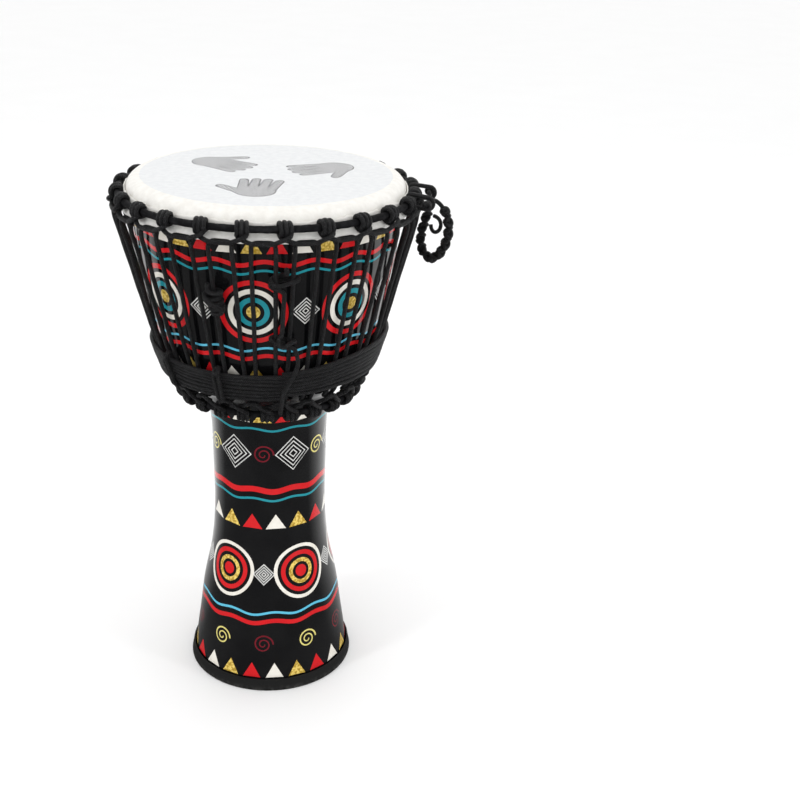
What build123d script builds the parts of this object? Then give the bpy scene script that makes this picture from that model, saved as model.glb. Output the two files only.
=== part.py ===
"""A djembe: a goblet hand drum with a 10 inch head, rope tuned, with a knotted carrying handle.

The drum stands on its rubber foot. Its axis is Z, its foot rests on Z = 0, its front is -Y.
Angles round the drum are in degrees from the front, growing towards +X.
"""

import os
from math import cos, radians, sin, tan

from build123d import *

# Whole drum, millimetres
HEIGHT = 506.0
WALL = 5.0
BAYS = 24
BAY = 360.0 / BAYS

# Shell, outside radius at each height from the foot to the shoulder
FOOT_SEAT = 3.0
SHOULDER_RADIUS = 124.7
SHOULDER_HEIGHT = 494.3
FOOT_LEAN = (-0.12, 1)
SHOULDER_LEAN = (0.03, 1)
OUTSIDE = [
    (79.0, FOOT_SEAT),
    (75.5, 30.0),
    (71.2, 60.0),
    (66.6, 92.0),
    (60.2, 122.0),
    (55.9, 155.0),
    (54.8, 200.0),
    (55.4, 240.0),
    (59.0, 284.0),
    (68.0, 304.5),
    (83.0, 322.0),
    (96.5, 342.0),
    (106.5, 374.0),
    (115.5, 420.0),
    (122.5, 468.0),
    (SHOULDER_RADIUS, SHOULDER_HEIGHT),
]

# Bearing edge and skin
SKIN = 1.0
EDGE_ROUND = 10.7
EDGE_LAND = 2.5
RIM_DEPTH = 24.0
RIM_SETBACK = 2.0
CREST = HEIGHT - SKIN
FLAT_RADIUS = SHOULDER_RADIUS - EDGE_ROUND
FLAP_RADIUS = 126.9
FLAP_BOTTOM = 486.8
FLAP_TOP = 497.0
FOLD_END = 60.0

# Rubber foot
FOOT_HEIGHT = 12.2
FOOT_BOTTOM_RADIUS = 82.6
FOOT_TOP_RADIUS = 80.3
FOOT_LIP = 2.5
FOOT_GAP = 0.15
LIP_TAPER = 1.2
FOOT_ROUND = 1.5

# Hoops: the flesh hoop under the skin, the crown ring, and the base ring under the bowl
HOOP_RADIUS = 128.3
HOOP_HEIGHT = 481.5
HOOP_ROD = 2.2
HOOP_FOLD = 2.8
RING_ROD = 2.4
RING_WRAP = 3.3
WRAP_GAP = 0.05
WRAP_SLIT = 0.3
CROWN_RADIUS = 132.8
CROWN_HEIGHT = 491.9
BASE_RADIUS = 82.0
BASE_HEIGHT = 304.5

# Rope: 4 mm braided cord
ROPE = 2.0
KNOT_GAP = 0.15
TURN = RING_WRAP + ROPE + KNOT_GAP
TURNS_APART = 3.9
KNOT_CUT = 127.7
KNOT_EXIT = 50.0
KNOT_EXIT_ANGLE = 1.2
LOOP_BEND = 3.0
CORNER = 3.3
CORNER_LOW = 2.7
SOFT_EDGE = 1.6
LOOP_RADIUS = 138.4
LOOP_HEIGHT = 481.0
BASE_LOOP_RADIUS = 94.5
BASE_LOOP_HEIGHT = 319.5
BASE_CORNER_INSET = 0.4

# Tuning rope, (radius, height) at each bend: over an upper loop, down the bowl, under the winds
BIGHT = (134.0, 480.5)
LEG_TOP = (137.3, 475.0)
LEG_LOW = (108.2, 364.0)
LEG_DRIFT = 0.3
UNDER_WINDS = [(103.9, 352.5), (96.4, 330.2), (94.1, 325.8), (89.6, 320.2)]
TUNING_BENDS = [2.6, 3.0, 40.0, 12.0, 12.0, 4.0, 2.2]

# Spare rope wound below the bowl
WINDS = 7
WIND_SWELL = 0.12
WIND_TOP = (109.1, 353.2)
WIND_MIDDLE = (105.6, 342.0)
WIND_BOTTOM = (101.4, 329.8)
TIE_OFFSET = 4.25
TIE_ANGLES = {"left": -3 * BAY, "front": -BAY}

# Rope end: the tying-off knot and the tail hitched to a pair of legs
KNOT_ANGLE = -11.8
KNOT_HEIGHT = 424.0
KNOT_LENGTH = 20.0
KNOT_RADIUS = 7.0
KNOT_ROUND = 4.2
KNOT_BORE = 2.1
HITCH_REACH = 4.7
HITCH_ROOM = 1.6
HITCHES = {"upper": (446.0, 14.0), "lower": (388.0, -16.0)}
TAIL_ROUTE = [
    (20.6, 116.4, 377.0),
    (21.2, 115.8, 367.0),
    (19.8, 115.4, 357.5),
    (17.4, 114.8, 348.0),
    (15.8, 111.6, 338.0),
    (15.1, 107.4, 328.5),
    (14.9, 102.0, 320.0),
    (14.8, 98.0, 312.0),
]

# Carrying handle: a cord through two beckets on the crown ring, covered with half hitches
HANDLE_ANGLE = 90.0
HINGE_X = 145.7
HINGE_Z = 490.0
BECKET_ANGLE = 7.5
CORD_END = 23.0
BRAID = 4.7
BRAID_BORE = 2.1
BRAID_FIRST = 3
BRAID_LAST = 12
STOP_KNOT = 4.6
STOP_LENGTH = 6.5
STOP_ROUND = 2.2
TAIL_CORD = 1.8
HANDLE_ROUTE = [
    (HINGE_X, -CORD_END, HINGE_Z),
    (HINGE_X, -11.0, HINGE_Z),
    (152.0, -5.5, 490.5),
    (160.0, -7.0, 484.0),
    (165.0, -8.5, 472.0),
    (165.6, -7.0, 458.5),
    (162.0, -3.5, 445.5),
    (155.5, 1.0, 434.5),
    (147.5, 6.0, 431.5),
    (140.6, 9.5, 440.0),
    (139.6, 11.5, 453.0),
    (143.0, 11.5, 465.5),
    (146.6, 11.0, 477.0),
    (146.4, 12.6, 487.0),
    (HINGE_X, 17.0, HINGE_Z),
    (HINGE_X, CORD_END, HINGE_Z),
]
HANDLE_TAIL_ROUTE = [
    (151.2, 8.6, 471.5),
    (155.2, 6.2, 471.0),
    (158.4, 3.6, 466.5),
    (157.6, 1.6, 460.5),
    (153.2, 1.0, 457.6),
    (149.4, 1.8, 460.6),
    (149.0, 3.0, 465.0),
]


def at(angle, radius, height):
    """A point beside the drum."""
    turn = radians(angle)
    return Vector(radius * sin(turn), -radius * cos(turn), height)


def finish(part, name):
    """Label a finished piece and write it to its own file."""
    part.label = name
    export_step(part, f"parts/{name}.step")


def inside(profile, wall):
    """The inner profile, one wall's thickness in from the outer one."""
    inner = []
    for index in range(1, len(profile) - 1):
        below = profile[index - 1]
        above = profile[index + 1]
        along = Vector(above[0] - below[0], above[1] - below[1]).normalized()
        radius, height = profile[index]
        inner.append((radius - wall * along.Y, height + wall * along.X))
    return inner


def easy_radii(points, share=0.45):
    """The radius of each corner: as large as its two straight runs allow."""
    radii = []
    for before, corner, after in zip(points, points[1:], points[2:]):
        run_in = corner - before
        run_out = after - corner
        half_turn = radians(run_in.get_angle(run_out)) / 2
        radii.append(share * min(run_in.length, run_out.length) / tan(half_turn))
    return radii


def rope_along(points, radius, radii):
    """A rope of round section along straight runs joined by tangent arcs."""
    with BuildPart() as rope:
        with BuildLine() as route:
            FilletPolyline(*points, radius=radii)
        with BuildSketch(Plane(origin=route.line @ 0, z_dir=route.line % 0)):
            Circle(radius)
        sweep(path=route.wire())
    return rope.part, route.wire().length


def make_shell():
    """The moulded goblet: bowl and stem in one piece, open right through."""
    inner = inside(OUTSIDE, WALL)
    with BuildPart() as shell:
        with BuildSketch(Plane.XZ):
            with BuildLine():
                outer_line = Spline(*OUTSIDE, tangents=[FOOT_LEAN, SHOULDER_LEAN])
                edge = RadiusArc(outer_line @ 1, (FLAT_RADIUS, CREST), -EDGE_ROUND)
                land = Line(edge @ 1, (FLAT_RADIUS - EDGE_LAND, CREST))
                rim = Line(land @ 1, (inner[-1][0] - RIM_SETBACK, CREST - RIM_DEPTH))
                seat = (OUTSIDE[0][0] - WALL, FOOT_SEAT)
                inner_line = Spline(rim @ 1, *reversed(inner[:-1]), seat)
                Line(inner_line @ 1, outer_line @ 0)
            make_face()
        revolve(axis=Axis.Z)
    finish(shell.part, "shell")
    return shell.part


def make_rubber_foot():
    """The rubber channel pressed over the shell's lower edge."""
    outer_gap = OUTSIDE[0][0] + FOOT_GAP
    inner_gap = OUTSIDE[0][0] - WALL - FOOT_GAP
    with BuildPart() as foot:
        with BuildSketch(Plane.XZ) as section:
            with BuildLine():
                Polyline(
                    (FOOT_BOTTOM_RADIUS, 0.0),
                    (FOOT_TOP_RADIUS, FOOT_HEIGHT),
                    (outer_gap, FOOT_HEIGHT),
                    (outer_gap, FOOT_SEAT - FOOT_GAP),
                    (inner_gap, FOOT_SEAT - FOOT_GAP),
                    (inner_gap - LIP_TAPER, FOOT_HEIGHT - FOOT_LIP),
                    (inner_gap - FOOT_LIP, FOOT_HEIGHT - FOOT_LIP),
                    (inner_gap - FOOT_LIP, 0.0),
                    close=True,
                )
            make_face()
            bottom_corner = section.vertices().sort_by(Axis.Y)[0:2].sort_by(Axis.X)[-1]
            fillet(bottom_corner, radius=FOOT_ROUND)
        revolve(axis=Axis.Z)
    finish(foot.part, "rubber_foot")


def make_drumhead():
    """The skin: flat over the drum, round the bearing edge, round the flesh hoop and up again."""
    middle = SKIN / 2
    fold_in = HOOP_RADIUS - HOOP_FOLD
    with BuildPart() as head:
        with BuildSketch(Plane.XZ):
            with BuildLine() as fold:
                flat = Line((0, CREST + middle), (FLAT_RADIUS, CREST + middle))
                edge = TangentArc(
                    flat @ 1,
                    (SHOULDER_RADIUS + middle, SHOULDER_HEIGHT),
                    tangent=(1, 0),
                )
                side = Line(edge @ 1, (fold_in, HOOP_HEIGHT))
                turn = ThreePointArc(
                    side @ 1,
                    (HOOP_RADIUS, HOOP_HEIGHT - HOOP_FOLD),
                    (
                        HOOP_RADIUS + HOOP_FOLD * cos(radians(FOLD_END)),
                        HOOP_HEIGHT + HOOP_FOLD * sin(radians(FOLD_END)),
                    ),
                )
                back = Line(turn @ 1, (FLAP_RADIUS, FLAP_BOTTOM))
                Line(back @ 1, (FLAP_RADIUS, FLAP_TOP))
            trace(line_width=SKIN)
            with Locations((-SKIN, CREST + middle)):
                Rectangle(2 * SKIN, 2 * SKIN, mode=Mode.SUBTRACT)
        revolve(axis=Axis.Z)
    finish(head.part, "drumhead")


def make_hoop(name, ring_radius, height, rod):
    """A steel rod bent into a ring and welded."""
    with BuildPart(Plane.XY.offset(height)) as hoop:
        Torus(ring_radius, rod)
    finish(hoop.part, name)


def make_ring_wrap(name, ring_radius, height):
    """The cloth strip wound over a ring, left open by a slit on its inner side."""
    with BuildPart() as wrap:
        with BuildSketch(Plane.XZ):
            with Locations((ring_radius, height)):
                Circle(RING_WRAP)
                Circle(RING_ROD + WRAP_GAP, mode=Mode.SUBTRACT)
            with Locations((ring_radius - RING_ROD, height)):
                Rectangle(2 * RING_WRAP, WRAP_SLIT, mode=Mode.SUBTRACT)
        revolve(axis=Axis.Z)
    finish(wrap.part, name)


def make_loop_rope(name, ring, corner, corner_angle, first_knot):
    """The rope that makes a three-turn knot round its ring in each bay and hangs in a loop between.

    ring and corner are (radius, height) pairs; corner_angle is how far a loop's corner lies
    from its knot, in degrees.
    """
    ring_radius, ring_height = ring
    outward = 1.0 if corner[1] < ring_height else -1.0
    low = radians(-KNOT_EXIT * outward)
    start = (ring_radius + TURN * cos(low), ring_height + TURN * sin(low))
    into_knot = KNOT_EXIT_ANGLE * CROWN_RADIUS / ring_radius
    points = [
        at(first_knot + into_knot, *start),
        at(first_knot + corner_angle, *corner),
        at(first_knot + BAY - corner_angle, *corner),
        at(first_knot + BAY - into_knot, *start),
    ]
    loop, _ = rope_along(points, ROPE, [LOOP_BEND, LOOP_BEND])
    knot_centre = at(first_knot, ring_radius, ring_height)
    along = at(first_knot + 90.0, 1.0, 0.0)
    with BuildPart() as rope:
        with PolarLocations(0, BAYS):
            add(loop)
            for side in (-TURNS_APART, 0.0, TURNS_APART):
                with Locations(Plane(origin=knot_centre + along * side, z_dir=along)):
                    Torus(TURN, ROPE)
        if ring_radius > KNOT_CUT:
            with Locations((0, 0, ring_height)):
                Cylinder(KNOT_CUT, 4 * TURN, mode=Mode.SUBTRACT)
    finish(rope.part, name)


def make_tuning_rope():
    """The long rope laced between the crown loops and the base loops, all the way round.

    One bay runs from the middle of a top bight to the middle of the next, down and up again
    round a base loop. The bays meet face to face and make one rope.
    """
    top = BAY / 2 - CORNER
    low = BAY / 2 - CORNER_LOW
    half = [(0.0, BIGHT[0] * cos(radians(top)), BIGHT[1]), (top, *BIGHT), (top, *LEG_TOP)]
    half.append((top + LEG_DRIFT, *LEG_LOW))
    half += [(low, *bend) for bend in UNDER_WINDS]
    points = [at(BAY / 2 + angle, radius, height) for angle, radius, height in half]
    points += [at(3 * BAY / 2 - angle, radius, height) for angle, radius, height in reversed(half)]
    bay, length = rope_along(points, ROPE, TUNING_BENDS + TUNING_BENDS[::-1])
    with BuildPart() as rope:
        with PolarLocations(0, BAYS):
            add(bay)
    finish(rope.part, "tuning_rope")
    print(f"tuning rope {length * BAYS:.0f} mm long")


def wind_arc():
    """The line through the centres of the winds, from the highest to the lowest."""
    with BuildLine(Plane.XZ) as line:
        ThreePointArc(WIND_TOP, WIND_MIDDLE, WIND_BOTTOM)
    return line.line


def make_spare_rope_coil():
    """The spare rope: turns wound side by side over the tuning rope, below the bowl's shoulder."""
    arc = wind_arc()
    with BuildPart() as coil:
        with BuildSketch(Plane.XZ):
            for turn in range(WINDS):
                centre = arc @ (turn / (WINDS - 1))
                with Locations((centre.X, centre.Z)):
                    Circle(ROPE + WIND_SWELL)
        revolve(axis=Axis.Z)
    finish(coil.part, "spare_rope_coil")


def make_coil_tie(name, angle):
    """A cord tied round the wound rope, between two legs of the tuning rope."""
    top = Vector(*WIND_TOP)
    bottom = Vector(*WIND_BOTTOM)
    middle = Vector(*WIND_MIDDLE)
    along = (top - bottom).normalized() * TIE_OFFSET
    out = Vector(along.Y, -along.X)
    stops = [
        top + out,
        middle + out,
        bottom + out,
        bottom - along,
        bottom - out,
        middle - out,
        top - out,
        top + along,
        top + out,
    ]
    outline = [(stop.X, stop.Y) for stop in stops]
    plane = Plane(origin=(0, 0, 0), x_dir=at(angle, 1.0, 0.0), z_dir=at(angle + 90.0, -1.0, 0.0))
    with BuildPart() as tie:
        with BuildLine(plane) as route:
            for first in range(0, len(outline) - 1, 2):
                ThreePointArc(*outline[first : first + 3])
        with BuildSketch(Plane(origin=route.line @ 0, z_dir=route.line % 0)):
            Circle(ROPE)
        sweep(path=route.wire())
    finish(tie.part, f"coil_tie_{name}")


def leg_point(angle, height):
    """A point on the straight leg of the tuning rope nearest an angle, at a height."""
    top_radius, top_height = LEG_TOP
    low_radius, low_height = LEG_LOW
    share = (top_height - height) / (top_height - low_height)
    return at(angle, top_radius + (low_radius - top_radius) * share, height)


def make_rope_end_knot():
    """The lump where the tuning rope is tied off round one of its own legs."""
    low = leg_point(KNOT_ANGLE, KNOT_HEIGHT - KNOT_LENGTH / 2)
    high = leg_point(KNOT_ANGLE, KNOT_HEIGHT + KNOT_LENGTH / 2)
    with BuildPart(Plane(origin=low, z_dir=high - low)) as knot:
        with Locations((0, 0, KNOT_LENGTH / 2)):
            Cylinder(KNOT_RADIUS, KNOT_LENGTH)
        fillet(knot.edges().filter_by(GeomType.CIRCLE), radius=KNOT_ROUND)
        with Locations((0, 0, KNOT_LENGTH / 2)):
            Cylinder(KNOT_BORE, 2 * KNOT_LENGTH, mode=Mode.SUBTRACT)
    finish(knot.part, "rope_end_knot")


def make_hitch(name, height, tilt, shell):
    """One turn of the rope's tail round a pair of legs, tilted across them."""
    centre = leg_point(BAY, height)
    upright = (centre - leg_point(BAY, height - ROPE)).normalized()
    across = at(BAY + 90.0, 1.0, 0.0)
    lean = across * cos(radians(tilt)) + upright * sin(radians(tilt))
    normal = upright * cos(radians(tilt)) - across * sin(radians(tilt))
    plane = Plane(origin=centre, x_dir=lean, z_dir=normal)
    legs_apart = (leg_point(CORNER, height) - leg_point(-CORNER, height)).length
    span = legs_apart / cos(radians(tilt)) + HITCH_ROOM
    with BuildPart() as hitch:
        with BuildSketch(plane):
            SlotCenterToCenter(span, 2 * (HITCH_REACH + ROPE))
            SlotCenterToCenter(span, 2 * (HITCH_REACH - ROPE), mode=Mode.SUBTRACT)
        extrude(amount=ROPE, both=True)
        fillet(hitch.edges(), radius=SOFT_EDGE)
        add(shell, mode=Mode.SUBTRACT)
    finish(hitch.part, name)


def make_rope_tail():
    """The tail of the tuning rope, from its lower hitch down over the wound rope."""
    points = [at(*place) for place in TAIL_ROUTE]
    radii = easy_radii(points)
    print("rope tail radii", [round(radius) for radius in radii])
    tail, length = rope_along(points, ROPE, radii)
    print(f"rope tail {length:.0f} mm long")
    finish(tail, "rope_tail")


def make_becket(name, angle):
    """A cord loop round the crown ring, with room in its outer end for the handle's cord."""
    ring = at(angle, CROWN_RADIUS, CROWN_HEIGHT)
    hinge = at(angle, HINGE_X / cos(radians(BECKET_ANGLE)), HINGE_Z)
    outward = (hinge - ring).normalized()
    plane = Plane(origin=(ring + hinge) / 2, x_dir=outward, z_dir=at(angle + 90.0, 1.0, 0.0))
    span = (hinge - ring).length
    with BuildPart() as becket:
        with BuildSketch(plane):
            SlotCenterToCenter(span, 2 * (TURN + ROPE))
            SlotCenterToCenter(span, 2 * (TURN - ROPE), mode=Mode.SUBTRACT)
        extrude(amount=ROPE, both=True)
        fillet(becket.edges(), radius=SOFT_EDGE)
        with Locations((0, 0, CROWN_HEIGHT)):
            Cylinder(KNOT_CUT, 4 * TURN, mode=Mode.SUBTRACT)
    finish(becket.part, name)


def make_handle_cord():
    """The core cord of the carrying handle, from becket to becket."""
    points = [Vector(*point) for point in HANDLE_ROUTE]
    radii = easy_radii(points)
    print("handle cord radii", [round(radius, 1) for radius in radii])
    cord, length = rope_along(points, ROPE, radii)
    print(f"handle cord {length:.0f} mm long, volume {cord.volume:.0f}")
    finish(cord, "handle_cord")


def make_handle_braid():
    """The half hitches knotted along the core cord, as one sleeve of their outer diameter."""
    points = [Vector(*point) for point in HANDLE_ROUTE]
    radii = easy_radii(points)
    with BuildLine() as whole:
        FilletPolyline(*points, radius=radii)
    edges = whole.edges()
    covered = edges[2 * BRAID_FIRST : 2 * BRAID_LAST - 1]
    route = Wire(covered)
    with BuildPart() as braid:
        with BuildSketch(Plane(origin=route @ 0, z_dir=route % 0)):
            Circle(BRAID)
            Circle(BRAID_BORE, mode=Mode.SUBTRACT)
        sweep(path=route)
    finish(braid.part, "handle_braid")


def make_handle_stop_knots():
    """The two knots that keep the handle's cord from slipping back through its beckets."""
    with BuildPart() as knots:
        for side in (-1, 1):
            with BuildSketch(Plane(origin=(HINGE_X, side * CORD_END, HINGE_Z), z_dir=(0, side, 0))):
                Circle(STOP_KNOT)
            extrude(amount=STOP_LENGTH)
        fillet(knots.edges(), radius=STOP_ROUND)
    finish(knots.part, "handle_stop_knots")


def make_handle_tail():
    """The loose end left over from the half hitches, curled beside the core cord."""
    points = [Vector(*point) for point in HANDLE_TAIL_ROUTE]
    radii = easy_radii(points)
    print("handle tail radii", [round(radius, 1) for radius in radii])
    tail, length = rope_along(points, TAIL_CORD, radii)
    print(f"handle tail {length:.0f} mm long")
    finish(tail, "handle_tail")


if __name__ == "__main__":
    os.makedirs("parts", exist_ok=True)
    shell = make_shell()
    make_rubber_foot()
    make_drumhead()
    make_hoop("flesh_hoop", HOOP_RADIUS, HOOP_HEIGHT, HOOP_ROD)
    make_hoop("crown_ring", CROWN_RADIUS, CROWN_HEIGHT, RING_ROD)
    make_hoop("base_ring", BASE_RADIUS, BASE_HEIGHT, RING_ROD)
    make_ring_wrap("crown_ring_wrap", CROWN_RADIUS, CROWN_HEIGHT)
    make_ring_wrap("base_ring_wrap", BASE_RADIUS, BASE_HEIGHT)
    make_loop_rope(
        "crown_loop_rope",
        (CROWN_RADIUS, CROWN_HEIGHT),
        (LOOP_RADIUS, LOOP_HEIGHT),
        CORNER,
        0.0,
    )
    make_loop_rope(
        "base_loop_rope",
        (BASE_RADIUS, BASE_HEIGHT),
        (BASE_LOOP_RADIUS, BASE_LOOP_HEIGHT),
        BAY / 2 - CORNER_LOW - BASE_CORNER_INSET,
        BAY / 2,
    )
    make_tuning_rope()
    make_spare_rope_coil()
    for tie_name, tie_angle in TIE_ANGLES.items():
        make_coil_tie(tie_name, tie_angle)
    make_rope_end_knot()
    for hitch_name, (hitch_height, hitch_tilt) in HITCHES.items():
        make_hitch(f"tail_hitch_{hitch_name}", hitch_height, hitch_tilt, shell)
    make_rope_tail()
    make_becket("becket_front", HANDLE_ANGLE - BECKET_ANGLE)
    make_becket("becket_back", HANDLE_ANGLE + BECKET_ANGLE)
    make_handle_cord()
    make_handle_braid()
    make_handle_stop_knots()
    make_handle_tail()
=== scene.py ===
# %% [markdown]
# # A rope-tuned djembe
# A djembe is a goblet drum. Its moulded shell is printed all over, its skin is pulled down over
# the bearing edge by a hoop, and one long rope, laced between knotted loops on an upper and a
# lower ring, sets the tension. This notebook dresses the drum's frame piece by piece: the shell
# and its print, the skin, the rings, every rope and knot, and the carrying handle.
# The frame comes first, because each piece takes its place from it.

# %% Load the frame
from math import atan2, cos, degrees, hypot, pi, radians, sin

import bmesh
import bpy
import numpy as np
from mathutils import Matrix, Vector
from mathutils.geometry import delaunay_2d_cdt


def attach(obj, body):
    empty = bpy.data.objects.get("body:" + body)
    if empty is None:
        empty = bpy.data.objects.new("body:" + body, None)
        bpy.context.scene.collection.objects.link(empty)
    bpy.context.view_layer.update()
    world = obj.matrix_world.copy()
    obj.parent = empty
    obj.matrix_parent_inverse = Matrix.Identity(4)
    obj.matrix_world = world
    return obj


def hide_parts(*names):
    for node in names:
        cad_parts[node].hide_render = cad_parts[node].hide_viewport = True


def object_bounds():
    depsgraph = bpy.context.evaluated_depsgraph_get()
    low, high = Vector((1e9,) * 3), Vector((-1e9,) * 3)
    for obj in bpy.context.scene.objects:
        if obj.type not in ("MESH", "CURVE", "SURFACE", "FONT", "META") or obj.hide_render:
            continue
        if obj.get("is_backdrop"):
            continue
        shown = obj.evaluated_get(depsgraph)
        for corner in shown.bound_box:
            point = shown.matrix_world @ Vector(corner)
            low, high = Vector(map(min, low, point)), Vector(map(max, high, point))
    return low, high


MM = 0.001
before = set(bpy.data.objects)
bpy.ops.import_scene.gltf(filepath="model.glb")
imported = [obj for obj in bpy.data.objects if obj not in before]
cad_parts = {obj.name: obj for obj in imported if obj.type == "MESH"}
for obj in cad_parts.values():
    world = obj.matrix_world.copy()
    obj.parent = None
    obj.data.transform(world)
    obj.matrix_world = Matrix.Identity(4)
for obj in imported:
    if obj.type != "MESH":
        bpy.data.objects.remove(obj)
cad_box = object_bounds()
print("frame", [round(side / MM) for side in cad_box[1] - cad_box[0]], "mm")

# %% [markdown]
# The camera looks down on the drum from a little over its head's height, through a moderately
# long lens, with a slight roll. It is placed by its own three axes, so no target is needed.

# %% Camera
PITCH = radians(23.783)
ROLL = radians(2.104)
AROUND = radians(2.6)
STAND = Vector((0.12684, -1.12273, 0.78237))
ahead = Vector((0.0, cos(PITCH), -sin(PITCH)))
level = Vector((1.0, 0.0, 0.0))
lifted = Vector((0.0, sin(PITCH), cos(PITCH)))
right_axis = level * cos(ROLL) + lifted * sin(ROLL)
up_axis = lifted * cos(ROLL) - level * sin(ROLL)
camera_data = bpy.data.cameras.new("camera")
camera_data.sensor_width = 36.0
camera_data.lens = 56.96
camera = bpy.data.objects.new("camera", camera_data)
bpy.context.scene.collection.objects.link(camera)
axes = Matrix((right_axis, up_axis, -ahead)).transposed().to_4x4()
camera.matrix_world = Matrix.Rotation(AROUND, 4, "Z") @ Matrix.Translation(STAND) @ axes
bpy.context.scene.camera = camera
print("camera", [round(value, 3) for value in camera.matrix_world.translation])

# %% [markdown]
# Node trees are built the same way all through: a node, its settings, and what goes into each
# of its sockets, either a plain value or another node's output. These helpers do that for
# materials, for shader groups and for Geometry Nodes.

# %% Node helpers
def node(tree, kind, inputs=None, **settings):
    """Adds a node and fills its input sockets, by name or by number."""
    made = tree.nodes.new(kind)
    for setting, value in settings.items():
        setattr(made, setting, value)
    for key, value in (inputs or {}).items():
        if isinstance(key, int):
            socket = made.inputs[key]
        else:
            socket = next(s for s in made.inputs if s.name == key and s.enabled)
        if isinstance(value, bpy.types.NodeSocket):
            tree.links.new(value, socket)
        else:
            socket.default_value = value
    return made


def calc(tree, operation, first, second=0.0, third=0.0):
    """A Math node, returned as its result."""
    return node(tree, "ShaderNodeMath", {0: first, 1: second, 2: third}, operation=operation).outputs[0]


def vector_calc(tree, operation, first, second=(0.0, 0.0, 0.0)):
    """A Vector Math node, returned as its result."""
    made = node(tree, "ShaderNodeVectorMath", {0: first}, operation=operation)
    if operation == "SCALE":
        key = "Scale"
    else:
        key = 1
    if isinstance(second, bpy.types.NodeSocket):
        tree.links.new(second, made.inputs[key])
    else:
        made.inputs[key].default_value = second
    return made.outputs[0]


def blend_colours(tree, share, first, second):
    """Mixes two colours by a share from 0 to 1."""
    made = node(tree, "ShaderNodeMix", {0: share, 6: first, 7: second}, data_type="RGBA")
    return made.outputs[2]


def spread(tree, value, low, high, out_low=0.0, out_high=1.0):
    """Stretches part of a value's range, and clamps it."""
    sockets = {"Value": value, "From Min": low, "From Max": high, "To Min": out_low, "To Max": out_high}
    return node(tree, "ShaderNodeMapRange", sockets).outputs[0]


def new_group(name, kind, inputs, outputs):
    """A node group with named sockets, and its two ends."""
    tree = bpy.data.node_groups.new(name, kind)
    for label, socket_kind, value in inputs:
        socket = tree.interface.new_socket(label, in_out="INPUT", socket_type=f"NodeSocket{socket_kind}")
        if value is not None:
            socket.default_value = value
    for label, socket_kind in outputs:
        tree.interface.new_socket(label, in_out="OUTPUT", socket_type=f"NodeSocket{socket_kind}")
    start = tree.nodes.new("NodeGroupInput").outputs
    end = tree.nodes.new("NodeGroupOutput").inputs
    return tree, start, end


def new_material(name, roughness, **constants):
    """A material with a Principled shader; constants go straight on its sockets."""
    material = bpy.data.materials.new(name)
    material.use_nodes = True
    shader = material.node_tree.nodes["Principled BSDF"]
    shader.inputs["Roughness"].default_value = roughness
    for label, value in constants.items():
        shader.inputs[label.replace("_", " ")].default_value = value
    return material, material.node_tree, shader


def grain(tree, scale, detail=3.0, vector=None):
    """Noise over the piece, in its own coordinates unless a vector is given."""
    if vector is None:
        vector = node(tree, "ShaderNodeTexCoord").outputs["Object"]
    sockets = {"Vector": vector, "Scale": scale, "Detail": detail}
    return node(tree, "ShaderNodeTexNoise", sockets).outputs[0]


def raise_bump(tree, shader, height, strength, distance):
    """Feeds a height through Bump into the shader's normal."""
    sockets = {"Height": height, "Strength": strength, "Distance": distance}
    bump = node(tree, "ShaderNodeBump", sockets)
    tree.links.new(bump.outputs[0], shader.inputs["Normal"])


def new_piece(name, mesh):
    """A new object at the origin, with its place in its mesh."""
    piece = bpy.data.objects.new(name, mesh)
    bpy.context.scene.collection.objects.link(piece)
    return piece


print("helpers ready")

# %% [markdown]
# Every rope on the drum is the same 4 mm braided cord. A braid's strands cross in two
# directions, so two waves that run round the cord in opposite senses and multiply give its
# pattern of small pillows with grooves between, and the colour is darkened in the grooves as
# painted shade. The waves need to know how far along the cord a point lies and where round
# it: both are stored on the mesh when the cord is made.
# A few lighter fibres stand out of it, as on any braided polyester cord.

# %% The braid, as a shader group
braid, start, end = new_group(
    "braid",
    "ShaderNodeTree",
    [("Crossings", "Float", 1750.0), ("Strands", "Float", 3.0)],
    [("Height", "Float"), ("Fibres", "Float")],
)
along = node(braid, "ShaderNodeAttribute", attribute_name="along").outputs["Fac"]
rim = node(braid, "ShaderNodeAttribute", attribute_name="rim").outputs["Vector"]
rim_parts = node(braid, "ShaderNodeSeparateXYZ", {0: rim}).outputs
angle = calc(braid, "ARCTAN2", rim_parts[1], rim_parts[0])
run = calc(braid, "MULTIPLY", along, start["Crossings"])
swing = calc(braid, "MULTIPLY", angle, start["Strands"])
one_way = calc(braid, "SINE", calc(braid, "ADD", run, swing))
other_way = calc(braid, "SINE", calc(braid, "SUBTRACT", run, swing))
pillow = calc(braid, "ABSOLUTE", calc(braid, "MULTIPLY", one_way, other_way))
braid.links.new(calc(braid, "POWER", pillow, 0.45), end["Height"])
stretched = node(braid, "ShaderNodeCombineXYZ", {0: calc(braid, "MULTIPLY", along, 260.0), 1: rim_parts[0], 2: rim_parts[1]})
fibre_noise = grain(braid, 7.0, 4.0, stretched.outputs[0])
braid.links.new(spread(braid, fibre_noise, 0.56, 0.68), end["Fibres"])


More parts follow.
